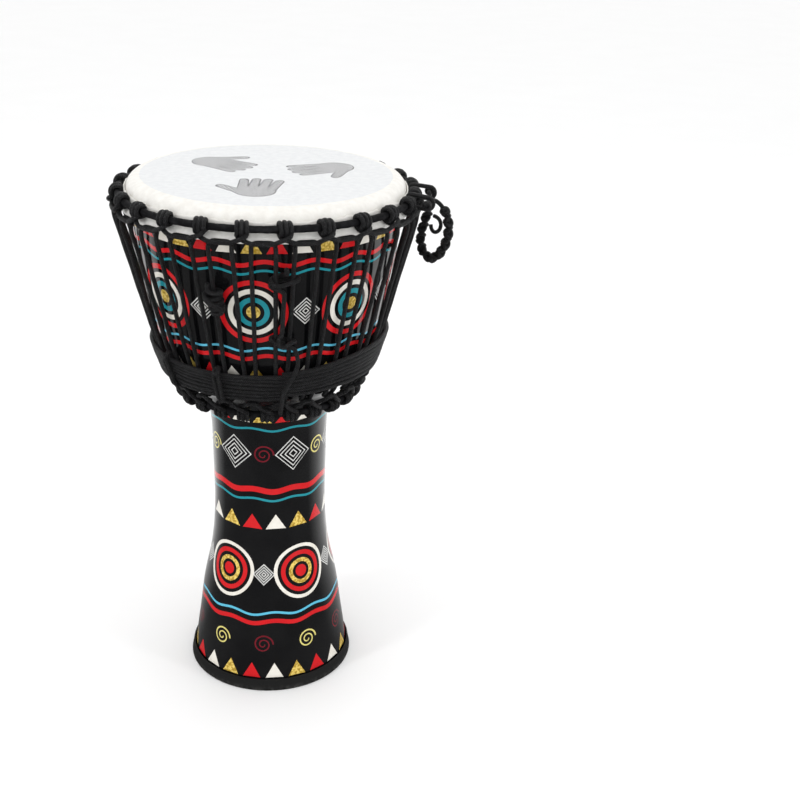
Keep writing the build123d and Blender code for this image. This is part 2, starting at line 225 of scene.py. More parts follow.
def rope_material(name, groove_shade, light, fibre):
    """A braided cord: grooves darkened as painted shade, lighter pillows and a few pale fibres."""
    material, tree, shader = new_material(name, 0.45, Specular_IOR_Level=0.4)
    weave = node(tree, "ShaderNodeGroup", node_tree=braid).outputs
    # painted shade: the colour goes from the lighter pillow tone to a near-black in the grooves
    body = blend_colours(tree, weave["Height"], groove_shade, light)
    dusty = spread(tree, grain(tree, 90.0), 0.42, 0.68, 0.0, 0.4)
    body = blend_colours(tree, dusty, body, light)
    share = calc(tree, "MULTIPLY", weave["Fibres"], weave["Height"])
    tree.links.new(blend_colours(tree, share, body, fibre), shader.inputs["Base Color"])
    tree.links.new(spread(tree, weave["Height"], 0.0, 1.0, 0.85, 0.5), shader.inputs["Roughness"])
    raise_bump(tree, shader, weave["Height"], 1.0, 0.0009)
    return material


# the first colour is painted shade for the grooves, the second is the tone of the pillows and the dust, the third the
# fibres
rope_black = rope_material("rope_black", (0.0008, 0.0008, 0.001, 1), (0.007, 0.007, 0.008, 1), (0.16, 0.16, 0.17, 1))
print("rope material with", len(braid.nodes), "nodes in its braid")

# %% [markdown]
# A cord is a line with a round section swept along it. As Geometry Nodes, one tree does this for
# every rope: it smooths the line, divides it evenly, gives it a little slack, so that no run is
# perfectly straight, and sweeps the circle. The slack comes from one noise field in space, so
# two ropes that touch move together and still touch. The second tree copies one bay's line
# round the drum, welds the ends into one endless line and hands it to the first.

# %% Geometry Nodes for ropes
tube, start, end = new_group(
    "rope_tube",
    "GeometryNodeTree",
    [
        ("Geometry", "Geometry", None),
        ("Radius", "Float", 0.002),
        ("Sides", "Int", 10),
        ("Spacing", "Float", 0.002),
        ("Slack", "Float", 0.001),
        ("Seed", "Float", 3.0),
        ("Finish", "Material", None),
    ],
    [("Geometry", "Geometry")],
)
line = node(tube, "GeometryNodeMeshToCurve", {0: start["Geometry"]})
line = node(tube, "GeometryNodeCurveSplineType", {0: line.outputs[0]}, spline_type="CATMULL_ROM")
line = node(tube, "GeometryNodeResampleCurve", {"Curve": line.outputs[0], "Length": start["Spacing"]}, mode="LENGTH")
place = node(tube, "GeometryNodeInputPosition").outputs[0]
drift = node(
    tube,
    "ShaderNodeTexNoise",
    {"Vector": place, "W": start["Seed"], "Scale": 42.0, "Detail": 1.0},
    noise_dimensions="4D",
).outputs[1]
drift = vector_calc(tube, "SUBTRACT", drift, (0.5, 0.5, 0.5))
drift = vector_calc(tube, "SCALE", drift, start["Slack"])
line = node(tube, "GeometryNodeSetPosition", {"Geometry": line.outputs[0], "Offset": drift})
reach = node(tube, "GeometryNodeSplineParameter").outputs["Length"]
line = node(
    tube,
    "GeometryNodeStoreNamedAttribute",
    {"Geometry": line.outputs[0], "Name": "along", "Value": reach},
    data_type="FLOAT",
    domain="POINT",
)
section = node(tube, "GeometryNodeCurvePrimitiveCircle", {"Resolution": start["Sides"], "Radius": start["Radius"]})
way_out = vector_calc(tube, "NORMALIZE", node(tube, "GeometryNodeInputPosition").outputs[0])
section = node(
    tube,
    "GeometryNodeStoreNamedAttribute",
    {"Geometry": section.outputs[0], "Name": "rim", "Value": way_out},
    data_type="FLOAT_VECTOR",
    domain="POINT",
)
swept = node(
    tube,
    "GeometryNodeCurveToMesh",
    {"Curve": line.outputs[0], "Profile Curve": section.outputs[0], "Fill Caps": True},
)
smooth = node(tube, "GeometryNodeSetShadeSmooth", {0: swept.outputs[0]})
solid = node(tube, "GeometryNodeRealizeInstances", {0: smooth.outputs[0]})
finished = node(tube, "GeometryNodeSetMaterial", {"Geometry": solid.outputs[0], "Material": start["Finish"]})
tube.links.new(finished.outputs[0], end[0])

lacing, start, end = new_group(
    "laced_round_the_drum",
    "GeometryNodeTree",
    [
        ("Geometry", "Geometry", None),
        ("Bays", "Int", 24),
        ("Radius", "Float", 0.002),
        ("Sides", "Int", 10),
        ("Spacing", "Float", 0.002),
        ("Slack", "Float", 0.001),
        ("Seed", "Float", 3.0),
        ("Finish", "Material", None),
    ],
    [("Geometry", "Geometry")],
)
stations = node(lacing, "GeometryNodePoints", {"Count": start["Bays"]})
station = node(lacing, "GeometryNodeInputIndex").outputs[0]
step = calc(lacing, "DIVIDE", 2 * pi, start["Bays"])
turned = node(lacing, "ShaderNodeCombineXYZ", {2: calc(lacing, "MULTIPLY", station, step)})
copies = node(
    lacing,
    "GeometryNodeInstanceOnPoints",
    {"Points": stations.outputs[0], "Instance": start["Geometry"], "Rotation": turned.outputs[0]},
)
apart = node(lacing, "GeometryNodeRealizeInstances", {0: copies.outputs[0]})
welded = node(lacing, "GeometryNodeMergeByDistance", {"Geometry": apart.outputs[0], "Distance": 0.0002})
wires = {"Geometry": welded.outputs[0]}
for label in ("Radius", "Sides", "Spacing", "Slack", "Seed", "Finish"):
    wires[label] = start[label]
tubed = node(lacing, "GeometryNodeGroup", node_tree=tube)
for label, value in wires.items():
    lacing.links.new(value, tubed.inputs[label])
solid = node(lacing, "GeometryNodeRealizeInstances", {0: tubed.outputs[0]})
finished = node(lacing, "GeometryNodeSetMaterial", {"Geometry": solid.outputs[0], "Material": start["Finish"]})
lacing.links.new(finished.outputs[0], end[0])


def grow(name, source, tree, **settings):
    """Runs a Geometry Nodes tree on a mesh and returns the result as a plain piece."""
    seed = new_piece(f"{name}_line", source)
    modifier = seed.modifiers.new("grow", "NODES")
    modifier.node_group = tree
    for item in tree.interface.items_tree:
        if item.in_out == "INPUT" and item.name in settings:
            modifier[item.identifier] = settings[item.name]
    evaluated = seed.evaluated_get(bpy.context.evaluated_depsgraph_get())
    mesh = bpy.data.meshes.new_from_object(evaluated)
    bpy.data.objects.remove(seed)
    piece = new_piece(name, mesh)
    mesh.name = name
    print(name, len(mesh.polygons), "faces")
    return piece


def line_mesh(name, lines):
    """Open or closed lines of points, in millimetres, as edges of one mesh."""
    points = []
    edges = []
    for places, closed in lines:
        first = len(points)
        points += [Vector(place) * MM for place in places]
        edges += [(index, index + 1) for index in range(first, len(points) - 1)]
        if closed:
            edges.append((len(points) - 1, first))
    mesh = bpy.data.meshes.new(name)
    mesh.from_pydata(points, edges, [])
    return mesh


def make_rope(name, lines, radius=2.0, spacing=1.6, slack=1.0, sides=10, finish=rope_black):
    """Ropes along lines of points in millimetres."""
    settings = {"Radius": radius * MM, "Sides": sides, "Spacing": spacing * MM, "Slack": slack * MM, "Seed": 3.0}
    return grow(name, line_mesh(name, lines), tube, Finish=finish, **settings)


def settle(piece, slot, *nodes, body="root"):
    """Puts a finished piece on the body it moves with and hides the frame pieces it replaces. The slot argument is
    not used.
    """
    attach(piece, body)
    if nodes:
        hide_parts(*nodes)


def at(angle, radius, height):
    """A point beside the drum, from the angle round it, in millimetres."""
    turn = radians(angle)
    return Vector((radius * sin(turn), -radius * cos(turn), height))


print("rope trees:", len(tube.nodes), "and", len(lacing.nodes), "nodes")

# %% [markdown]
# The carrying handle is one free cord: it leaves the knot in the front becket, hangs in a loop
# beside the bowl and goes back through the other becket. Its line is a smooth NURBS spline
# through the same places as the drum's own route. The half hitches that cover it follow points
# read back from that spline, so the two can't drift apart.

# %% Handle cord
HANDLE_ROUTE = [
    (145.7, -23.0, 490.0),
    (145.7, -11.0, 490.0),
    (152.0, -5.5, 490.5),
    (160.0, -7.0, 484.0),
    (165.0, -8.5, 472.0),
    (165.6, -7.0, 458.5),
    (162.0, -3.5, 445.5),
    (155.5, 1.0, 434.5),
    (147.5, 6.0, 431.5),
    (140.6, 9.5, 440.0),
    (139.6, 11.5, 453.0),
    (143.0, 11.5, 465.5),
    (146.6, 11.0, 477.0),
    (146.4, 12.6, 487.0),
    (145.7, 17.0, 490.0),
    (145.7, 23.0, 490.0),
]
TAIL_ROUTE = [
    (151.2, 8.6, 471.5),
    (155.2, 6.2, 471.0),
    (158.4, 3.6, 466.5),
    (157.6, 1.6, 460.5),
    (153.2, 1.0, 457.6),
    (149.4, 1.8, 460.6),
    (149.0, 3.0, 465.0),
]


def spline_points(route):
    """The smooth line of a cord, as points read from its NURBS spline, in millimetres."""
    data = bpy.data.curves.new("route", "CURVE")
    data.dimensions = "3D"
    spline = data.splines.new("NURBS")
    spline.points.add(len(route) - 1)
    for point, place in zip(spline.points, route):
        point.co = (place[0] * MM, place[1] * MM, place[2] * MM, 1.0)
    spline.order_u = 3
    spline.use_endpoint_u = True
    spline.resolution_u = 8
    holder = new_piece("route", data)
    evaluated = holder.evaluated_get(bpy.context.evaluated_depsgraph_get())
    mesh = bpy.data.meshes.new_from_object(evaluated)
    points = [vertex.co / MM for vertex in mesh.vertices]
    bpy.data.objects.remove(holder)
    return points


handle_line = spline_points(HANDLE_ROUTE)
handle_length = sum((b - a).length for a, b in zip(handle_line, handle_line[1:]))
handle_cord = make_rope("carry_cord", [(handle_line, False)], slack=0.0, spacing=1.5)
tail_line = spline_points(TAIL_ROUTE)
handle_tail = make_rope("carry_tail", [(tail_line, False)], radius=1.8, slack=0.0, spacing=1.0)
print("handle cord", round(handle_length), "mm along its middle")

# %% [markdown]
# The handle is covered by half hitches: a second strand goes round the core and under itself,
# again and again, and each hitch is a small lump that turns a little against the last. A helix
# that runs ahead and falls back once in each turn has the same look. The tree winds it on the
# core's own line, from the number of hitches and the sizes of the two strands.

# %% Half hitches
hitches, start, end = new_group(
    "half_hitches",
    "GeometryNodeTree",
    [
        ("Geometry", "Geometry", None),
        ("Hitches", "Int", 20),
        ("Lay radius", "Float", 0.003),
        ("Throw", "Float", 0.002),
        ("Strand radius", "Float", 0.0017),
        ("Finish", "Material", None),
    ],
    [("Geometry", "Geometry")],
)
line = node(hitches, "GeometryNodeMeshToCurve", {0: start["Geometry"]})
count = calc(hitches, "MULTIPLY", start["Hitches"], 14.0)
line = node(hitches, "GeometryNodeResampleCurve", {"Curve": line.outputs[0], "Count": count}, mode="COUNT")
share = node(hitches, "GeometryNodeSplineParameter").outputs["Factor"]
turns = calc(hitches, "MULTIPLY", share, start["Hitches"])
phase = calc(hitches, "MULTIPLY", turns, 2 * pi)
side = node(hitches, "GeometryNodeInputNormal").outputs[0]
forward = node(hitches, "GeometryNodeInputTangent").outputs[0]
other = vector_calc(hitches, "CROSS_PRODUCT", forward, side)
swell = calc(hitches, "MULTIPLY", calc(hitches, "SINE", calc(hitches, "MULTIPLY", phase, 0.5)), 0.0004)
lay = calc(hitches, "ADD", start["Lay radius"], swell)
along_side = vector_calc(hitches, "SCALE", side, calc(hitches, "MULTIPLY", calc(hitches, "COSINE", phase), lay))
along_other = vector_calc(hitches, "SCALE", other, calc(hitches, "MULTIPLY", calc(hitches, "SINE", phase), lay))
doubled = calc(hitches, "SINE", calc(hitches, "MULTIPLY", phase, 1.5))
ahead_part = vector_calc(hitches, "SCALE", forward, calc(hitches, "MULTIPLY", doubled, start["Throw"]))
offset = vector_calc(hitches, "ADD", vector_calc(hitches, "ADD", along_side, along_other), ahead_part)
line = node(hitches, "GeometryNodeSetPosition", {"Geometry": line.outputs[0], "Offset": offset})
wound = node(hitches, "GeometryNodeCurveToMesh", {"Curve": line.outputs[0]})
tubed = node(hitches, "GeometryNodeGroup", node_tree=tube)
wires = {"Geometry": wound.outputs[0], "Radius": start["Strand radius"], "Finish": start["Finish"]}
for label, value in wires.items():
    hitches.links.new(value, tubed.inputs[label])
tubed.inputs["Slack"].default_value = 0.0
tubed.inputs["Spacing"].default_value = 0.0011
solid = node(hitches, "GeometryNodeRealizeInstances", {0: tubed.outputs[0]})
finished = node(hitches, "GeometryNodeSetMaterial", {"Geometry": solid.outputs[0], "Material": start["Finish"]})
hitches.links.new(finished.outputs[0], end[0])


def nearest(points, place):
    """The number of the point nearest a place."""
    target = Vector(place)
    return min(range(len(points)), key=lambda index: (points[index] - target).length)


covered = handle_line[nearest(handle_line, HANDLE_ROUTE[3]) : nearest(handle_line, HANDLE_ROUTE[12]) + 1]
sizes = {"Hitches": 21, "Lay radius": 2.9 * MM, "Throw": 1.7 * MM, "Strand radius": 1.75 * MM}
handle_braid = grow("carry_hitches", line_mesh("hitches", [(covered, False)]), hitches, Finish=rope_black, **sizes)

# %% [markdown]
# Each end of the cord goes through a becket, a short closed loop round the upper ring, and stops
# in a knot. A stop knot is two tight turns round the cord's end. A becket is a stadium-shaped
# loop that lies in the plane through the drum's axis.

# %% Beckets and stop knots
CROWN_RADIUS = 132.8
CROWN_HEIGHT = 491.9
RING_WRAP = 3.3
ROPE = 2.0
LAY = RING_WRAP + ROPE + 0.05
HINGE = (145.7, 490.0)
INNER_LIMIT = 129.4


def becket_line(angle):
    """A closed loop round the ring and the hinge line, kept outside the skin."""
    hinge_radius = HINGE[0] / cos(radians(angle - 90.0))
    ring = Vector((CROWN_RADIUS, CROWN_HEIGHT))
    hinge = Vector((hinge_radius, HINGE[1]))
    tilt = atan2(hinge.y - ring.y, hinge.x - ring.x)
    loop = []
    for step in range(16):
        centre = hinge if step < 8 else ring
        turn = tilt - pi / 2 + pi * (step % 8) / 7 + (0.0 if step < 8 else pi)
        radius = max(centre.x + LAY * cos(turn), INNER_LIMIT)
        loop.append(at(angle, radius, centre.y + LAY * sin(turn)))
    return loop


def stop_knot_line(side):
    """Two turns of cord round the y direction, closing in on the cord's end."""
    points = []
    for step in range(31):
        turn = 2 * pi * step / 12
        radius = 2.5 - 1.4 * max(0, step - 24) / 6
        points.append((HINGE[0] + radius * cos(turn), side * (24.6 + 4.6 * step / 30), HINGE[1] + radius * sin(turn)))
    return points


becket_front = make_rope("front_becket", [(becket_line(82.5), True)], slack=0.0, spacing=1.2)
becket_back = make_rope("back_becket", [(becket_line(97.5), True)], slack=0.0, spacing=1.2)
stop_lines = [(stop_knot_line(-1), False), (stop_knot_line(1), False)]
stop_knots = make_rope("carry_stop_knots", stop_lines, radius=1.9, slack=0.0, spacing=1.0)

# %% [markdown]
# The handle and everything on it are put on the handle's own body, and the beckets stay with
# the drum.

settle(handle_cord, "rope", "handle_cord", body="handle")
settle(handle_tail, "rope", "handle_tail", body="handle")
settle(handle_braid, "rope", "handle_braid", body="handle")
settle(stop_knots, "rope", "handle_stop_knots", body="handle")
settle(becket_front, "rope", "becket_front")
settle(becket_back, "rope", "becket_back")
print("handle rides on", "handle")

# %% [markdown]
# The drum stands on a plain pale floor in a white studio. A glossy black shell shows whatever is
# round it, so the floor's colour is painted dark grey in front of the drum for reflected rays
# only, a painted reflection in place of black cards. For reflected rays the white world is also
# dimmed in front and brightened behind, and tall narrow lights draw highlights down its sides.

# %% Floor and lights
FLOOR = 12.0
floor_mesh = bpy.data.meshes.new("floor")
floor_corners = [(-FLOOR, -FLOOR, 0.0), (FLOOR, -FLOOR, 0.0), (FLOOR, FLOOR, 0.0), (-FLOOR, FLOOR, 0.0)]
floor_mesh.from_pydata(floor_corners, [], [(0, 1, 2, 3)])
floor = new_piece("floor", floor_mesh)
floor_paint, tree, shader = new_material("floor_paint", 0.7)
faint = spread(tree, grain(tree, 6.0), 0.3, 0.7)
pale = blend_colours(tree, faint, (0.965, 0.965, 0.965, 1), (0.98, 0.98, 0.98, 1))
floor_place = node(tree, "ShaderNodeTexCoord").outputs["Object"]
# painted reflection: for reflected rays only, the floor turns dark grey in front of the drum and fades back to pale
# by 0.3 m behind its middle, while it stays pale to the camera
behind = spread(tree, node(tree, "ShaderNodeSeparateXYZ", {0: floor_place}).outputs[1], 0.0, 0.3, 1.0, 0.0)
mirrored = calc(tree, "MULTIPLY", node(tree, "ShaderNodeLightPath").outputs["Is Glossy Ray"], behind)
tree.links.new(blend_colours(tree, mirrored, pale, (0.12, 0.12, 0.12, 1)), shader.inputs["Base Color"])
floor_mesh.materials.append(floor_paint)
floor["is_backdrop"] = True

world = bpy.data.worlds.new("studio")
world.use_nodes = True
sky = world.node_tree.nodes["Background"]
sky.inputs["Color"].default_value = (1.0, 1.0, 1.0, 1.0)
outside = world.node_tree
bearing = node(outside, "ShaderNodeSeparateXYZ", {0: node(outside, "ShaderNodeTexCoord").outputs["Generated"]})
shaded = spread(outside, bearing.outputs[1], 0.1, 0.7, 0.82, -0.6)
mirrored = calc(outside, "MULTIPLY", node(outside, "ShaderNodeLightPath").outputs["Is Glossy Ray"], shaded)
outside.links.new(calc(outside, "SUBTRACT", 1.0, mirrored), sky.inputs["Strength"])
bpy.context.scene.world = world
bpy.context.scene.view_settings.view_transform = "Standard"


def softbox(name, place, aim, size, power):
    """A large rectangular light that faces a point."""
    data = bpy.data.lights.new(name, "AREA")
    data.shape = "RECTANGLE"
    data.size = size[0]
    data.size_y = size[1]
    data.energy = power
    light = bpy.data.objects.new(name, data)
    bpy.context.scene.collection.objects.link(light)
    direction = Vector(aim) - Vector(place)
    light.matrix_world = Matrix.Translation(place) @ direction.to_track_quat("-Z", "Y").to_matrix().to_4x4()
    return light


softbox("key_left", (-1.5, -1.3, 1.4), (0.0, 0.0, 0.3), (0.14, 1.7), 9.0)
softbox("strip_front", (0.35, -2.0, 1.5), (0.0, 0.0, 0.3), (0.10, 1.6), 4.0)
softbox("fill_right", (1.7, -0.7, 1.0), (0.0, 0.0, 0.25), (0.12, 1.6), 6.0)
softbox("overhead", (0.1, 0.3, 2.2), (0.0, 0.0, 0.4), (1.4, 1.4), 3.0)
print("four softboxes and a white world")

# %% [markdown]
# The upper loop rope ties a three-turn knot round the cloth-wrapped ring in every bay and hangs
# in a flat loop between knots. In a knot the cord crosses over itself below the ring, goes three
# times round it, side by side, and leaves behind the crossing, on two splayed legs.
# One bay is drawn as a line of points beside its ring: sideways, outwards and upwards, and
# the lacing tree does the other twenty-three. The lower loop rope is the same knot upside down.

# %% Loop ropes and their knots
BASE_RADIUS = 82.0
BASE_HEIGHT = 304.5
BAY = 15.0
STRANDS_APART = 3.9


def knot_line(ring, middle, way_in, way_out, sense, inner_limit):
    """One bay: half a loop, the knot with its three turns, and half the next loop."""
    ring_radius, ring_height = ring
    local = list(way_in)
    for side, first, last in ((1.0, -35, 225), (0.0, 300, 585), (-1.0, 660, 945)):
        for turn in range(first, last + 1, 26):
            swell = LAY + 0.5 * (side == 0.0)
            out = max(swell * cos(radians(turn)), inner_limit - ring_radius)
            slant = 0.9 * cos(radians(turn))
            local.append((side * STRANDS_APART + slant, out, sense * swell * sin(radians(turn))))
    local += way_out
    points = [at(-BAY / 2, *middle)]
    points += [Vector((u, -(ring_radius + n), ring_height + w)) for u, n, w in local]
    points.append(at(BAY / 2, *middle))
    return points


crown_in = [(-9.9, 5.2, -11.1), (-7.9, 5.8, -10.4), (-4.6, 7.0, -8.6), (-0.6, 7.8, -7.0), (3.2, 7.2, -5.0)]
crown_out = [(-3.6, 0.2, -6.2), (-0.6, 3.2, -7.9), (3.4, 4.8, -9.2), (7.6, 5.6, -10.5), (9.9, 5.2, -11.1)]
crown_line = knot_line((CROWN_RADIUS, CROWN_HEIGHT), (138.5, 480.7), crown_in, crown_out, 1.0, INNER_LIMIT)
base_in = [(-8.6, 12.6, 15.2), (-7.0, 12.4, 13.6), (-4.2, 10.8, 10.4), (-0.6, 9.2, 7.6), (3.2, 7.4, 5.0)]
base_out = [(-3.6, 0.4, 6.2), (-0.6, 4.2, 8.4), (3.4, 8.0, 11.0), (7.0, 12.2, 14.0), (8.6, 12.6, 15.2)]
base_line = knot_line((BASE_RADIUS, BASE_HEIGHT), (94.6, 319.9), base_in, base_out, -1.0, 0.0)
base_line = [Matrix.Rotation(radians(BAY / 2), 3, "Z") @ point for point in base_line]
lace = {"Bays": 24, "Radius": ROPE * MM, "Sides": 10, "Slack": 1.3 * MM, "Seed": 3.0, "Finish": rope_black}
crown_loops = grow("crown_loops", line_mesh("crown", [(crown_line, False)]), lacing, Spacing=1.3 * MM, **lace)
base_loops = grow("base_loops", line_mesh("base", [(base_line, False)]), lacing, Spacing=1.3 * MM, **lace)
settle(crown_loops, "rope", "crown_loop_rope")
settle(base_loops, "rope", "base_loop_rope")

# %% [markdown]
# The tuning rope runs up and down between the two rows of loops: over the strand of an upper
# loop, down the bowl, round a lower loop and up again. Half a bay is listed from the middle of
# an upper bight to the middle of a lower one, and its mirror image completes the bay.

# %% Tuning rope
HALF_BAY = [
    (0.0, 133.9, 480.7),
    (2.2, 134.0, 480.7),
    (3.5, 134.6, 480.2),
    (4.1, 135.9, 478.6),
    (4.2, 137.0, 475.6),
    (4.2, 136.2, 470.4),
    (4.3, 133.4, 460.0),
    (4.3, 128.7, 442.0),
    (4.4, 122.4, 418.0),
    (4.5, 116.0, 394.0),
    (4.6, 110.9, 374.0),
    (4.7, 107.2, 361.0),
    (4.8, 104.2, 352.0),
    (4.8, 101.0, 343.0),
    (4.8, 97.4, 333.0),
    (4.8, 94.5, 326.6),
    (4.8, 92.0, 323.2),
    (4.7, 90.0, 320.9),
    (4.1, 88.9, 319.8),
    (5.8, 88.5, 319.4),
    (7.5, 88.4, 319.3),
]
HALF_BAY[18] = (5.0, 88.9, 319.8)
bay_line = [at(BAY / 2 + turn, radius, height) for turn, radius, height in HALF_BAY]
bay_line += [at(3 * BAY / 2 - turn, radius, height) for turn, radius, height in reversed(HALF_BAY[:-1])]
tuning = grow("tuning_lace", line_mesh("tuning", [(bay_line, False)]), lacing, Spacing=2.2 * MM, **lace)
settle(tuning, "rope", "tuning_rope")

# %% [markdown]
# What is left of the long rope is wound round the drum below the bowl's shoulder, seven winds
# that bind the tuning rope's runs against the shell. The winds lie on a slightly curved slope,
# and on one side of the drum they fan out and climb. It is one helix, so a single line makes it.

# %% Spare rope
WIND_TOP = Vector((109.1, 353.2))
WIND_MIDDLE = Vector((105.6, 342.0))
WIND_BOTTOM = Vector((101.4, 329.8))
WINDS = 7
LEG_SLOPE = 0.262


def wind_centre(share):
    """A place on the slope that the winds lie on, from its top to its bottom."""
    pull = -3 * WIND_TOP + 4 * WIND_MIDDLE - WIND_BOTTOM
    bend = 2 * WIND_TOP - 4 * WIND_MIDDLE + 2 * WIND_BOTTOM
    return WIND_TOP + pull * share + bend * share * share


def eased(value, low, high):
    """Rises smoothly from 0 to 1 between two values."""
    share = min(max((value - low) / (high - low), 0.0), 1.0)
    return share * share * (3.0 - 2.0 * share)


def wind_line():
    """The helix of the wound rope, with its climb on one side."""
    points = []
    for step in range(WINDS * 60 + 1):
        share = (step / 60 - 0.5) / (WINDS - 1)
        turn = 15.0 + 6.0 * step
        round_turn = turn % 360.0
        climb = eased(round_turn, 18.0, 62.0) * (1.0 - eased(round_turn, 105.0, 165.0))
        rise = climb * (8.0 - 5.0 * share)
        centre = wind_centre(share)
        wander = 0.45 * sin(radians(turn * 3.0 + 70.0 * (step // 60))) * (1.0 - eased(abs(share - 0.5), 0.4, 0.55))
        points.append(at(turn, centre.x + LEG_SLOPE * rise, centre.y + rise + wander))
    return points


coil = make_rope("wound_rope", [(wind_line(), False)], radius=2.1, spacing=3.6, slack=1.5)
settle(coil, "rope", "spare_rope_coil")

# %% [markdown]
# Short cords hold the winds together. Each goes twice round the whole band between two runs of
# the tuning rope, so it is a closed line in the plane through the drum's axis, with its two
# turns side by side in front.

# %% Ties on the wound rope
TIE_OFFSET = 4.3


def tie_line(angle):
    """Two turns round the band of winds at one angle."""
    slope = (WIND_TOP - WIND_BOTTOM).normalized()
    out = Vector((slope.y, -slope.x))
    ring = [wind_centre(share) + out * TIE_OFFSET for share in (0.0, 0.25, 0.5, 0.75, 1.0)]
    ring += [wind_centre(1.0) + out * 3.0 - slope * 3.1, wind_centre(1.0) - slope * TIE_OFFSET]
    ring += [wind_centre(1.0) - out * 3.0 - slope * 3.1]
    ring += [wind_centre(share) - out * TIE_OFFSET for share in (1.0, 0.5, 0.0)]
    ring += [wind_centre(0.0) - out * 3.0 + slope * 3.1, wind_centre(0.0) + slope * TIE_OFFSET]
    ring += [wind_centre(0.0) + out * 3.0 + slope * 3.1]
    side = Vector((cos(radians(angle)), sin(radians(angle)), 0.0))
    points = []
    for turn_side in (-1.0, 1.0):
        for index, place in enumerate(ring):
            behind = 6 <= index <= 12
            shift = turn_side * (0.9 if behind else 1.95)
            points.append(at(angle, place.x, place.y) + side * shift)
    return points


tie_left = make_rope("left_tie", [(tie_line(-45.0), True)], spacing=1.4)
tie_front = make_rope("front_tie", [(tie_line(-15.0), True)], spacing=1.4)
settle(tie_left, "rope", "coil_tie_left")
settle(tie_front, "rope", "coil_tie_front")

# %% [markdown]
# The rope's two ends are finished on its own legs. One end is tied off in a lump of close turns
# round a single leg. The other comes up from under the wound rope, is hitched across a pair of
# legs, runs up between them and is hitched again, with a short cut end left standing.
# Both lines are drawn beside a point on a leg: sideways, outwards and up along the leg.

# %% Rope ends
LEG_TOP = (137.0, 475.6)


def beside_leg(angle, height, sideways, outwards, upwards):
    """A place beside the straight run of the tuning rope at an angle and height."""
    radius = LEG_TOP[0] - LEG_SLOPE * (LEG_TOP[1] - height)
    lean = atan2(LEG_SLOPE, 1.0)
    turn = radians(angle)
    across = Vector((cos(turn), sin(turn), 0.0))
    out = Vector((sin(turn), -cos(turn), 0.0))
    rise = Vector((0.0, 0.0, 1.0))
    away = out * cos(lean) - rise * sin(lean)
    along_leg = out * sin(lean) + rise * cos(lean)
    return at(angle, radius, height) + across * sideways + away * outwards + along_leg * upwards


def end_knot_line():
    """Close turns round one leg, then a slanting strand back over them."""
    local = [(-4.6, 1.6, 16.0), (-4.5, 1.4, 12.0)]
    for step in range(48):
        turn = radians(-70.0 - 30.0 * step)
        reach = 4.2 + 0.8 * sin(pi * step / 47)
        local.append((1.15 * reach * sin(turn), reach * cos(turn), 9.0 - 0.40 * step))
    local += [(5.6, 4.6, -8.0), (6.2, 6.4, -3.0), (1.8, 8.2, 1.6), (-4.0, 7.8, 5.6), (-7.6, 4.2, 8.6)]
    local += [(-6.2, -1.2, 9.4), (-1.0, -3.9, 9.6), (4.6, -2.6, 10.2), (6.4, 1.6, 10.8), (3.0, 5.2, 11.6)]
    local += [(-2.4, 5.4, 13.0), (-4.4, 3.0, 15.6), (-3.6, 2.6, 19.5)]
    return [beside_leg(-BAY + 3.2, 424.0, *place) for place in local]


def tail_line_points():
    """From under the winds, up to a hitch, on between the legs and round them again."""
    rise = [(14.8, 98.0, 312.0), (14.9, 102.0, 320.0), (15.1, 107.4, 328.5), (15.8, 111.6, 338.0)]
    rise += [(17.4, 114.8, 348.0), (19.8, 116.6, 357.5), (21.2, 117.6, 366.0), (20.8, 117.6, 375.0)]
    points = [at(*place) for place in rise]
    lower = [(9.4, 4.4, -6.0), (4.6, 4.8, -3.4), (-2.0, 4.8, -1.0), (-7.6, 4.2, 1.4), (-10.4, 0.4, 2.6)]
    lower += [(-7.6, -3.0, 2.2), (0.0, -3.3, 0.0), (7.6, -3.0, -1.8), (10.6, 0.4, -1.0), (8.6, 4.4, 1.6)]
    lower += [(4.2, 7.6, 1.0), (-0.4, 8.6, -1.4), (-4.0, 7.0, 1.2), (-3.8, 5.2, 5.6), (-1.6, 4.8, 10.0)]
    points += [beside_leg(BAY, 388.0, *place) for place in lower]
    points += [beside_leg(BAY, 417.0, -0.6, 3.4, 0.0)]
    upper = [(-0.4, 3.6, -16.0), (-0.6, 4.4, -9.0), (-4.6, 4.6, -5.2), (-9.6, 3.6, -3.6), (-11.6, 0.0, -2.6)]
    upper += [(-8.6, -4.0, -2.2), (0.0, -4.2, -0.2), (8.6, -4.0, 1.8), (11.8, 0.2, 2.8), (9.0, 4.4, 2.8)]
    upper += [(3.0, 4.9, 1.4), (-4.0, 5.0, -0.6), (-9.8, 3.8, 0.4), (-11.2, -0.4, 2.0), (-6.4, -3.8, 3.6)]
    upper += [(-0.6, -2.6, 5.6), (1.6, 1.4, 8.4), (1.4, 4.6, 11.6), (0.4, 5.8, 16.4)]
    points += [beside_leg(BAY, 446.0, *place) for place in upper]
    return points


end_knot = make_rope("end_knot", [(end_knot_line(), False)], spacing=1.3)
tail = make_rope("hitched_tail", [(tail_line_points(), False)], spacing=1.5)
settle(end_knot, "rope", "rope_end_knot")
settle(tail, "rope", "rope_tail", "tail_hitch_upper", "tail_hitch_lower")

# %% [markdown]
# Both rings are steel rods wrapped in a strip of black cloth, wound on a slant with each turn
# over the edge of the last. A section that grows slowly and drops back makes the laps, and a
# fine weave with a slightly uneven dark tone is left to the material.

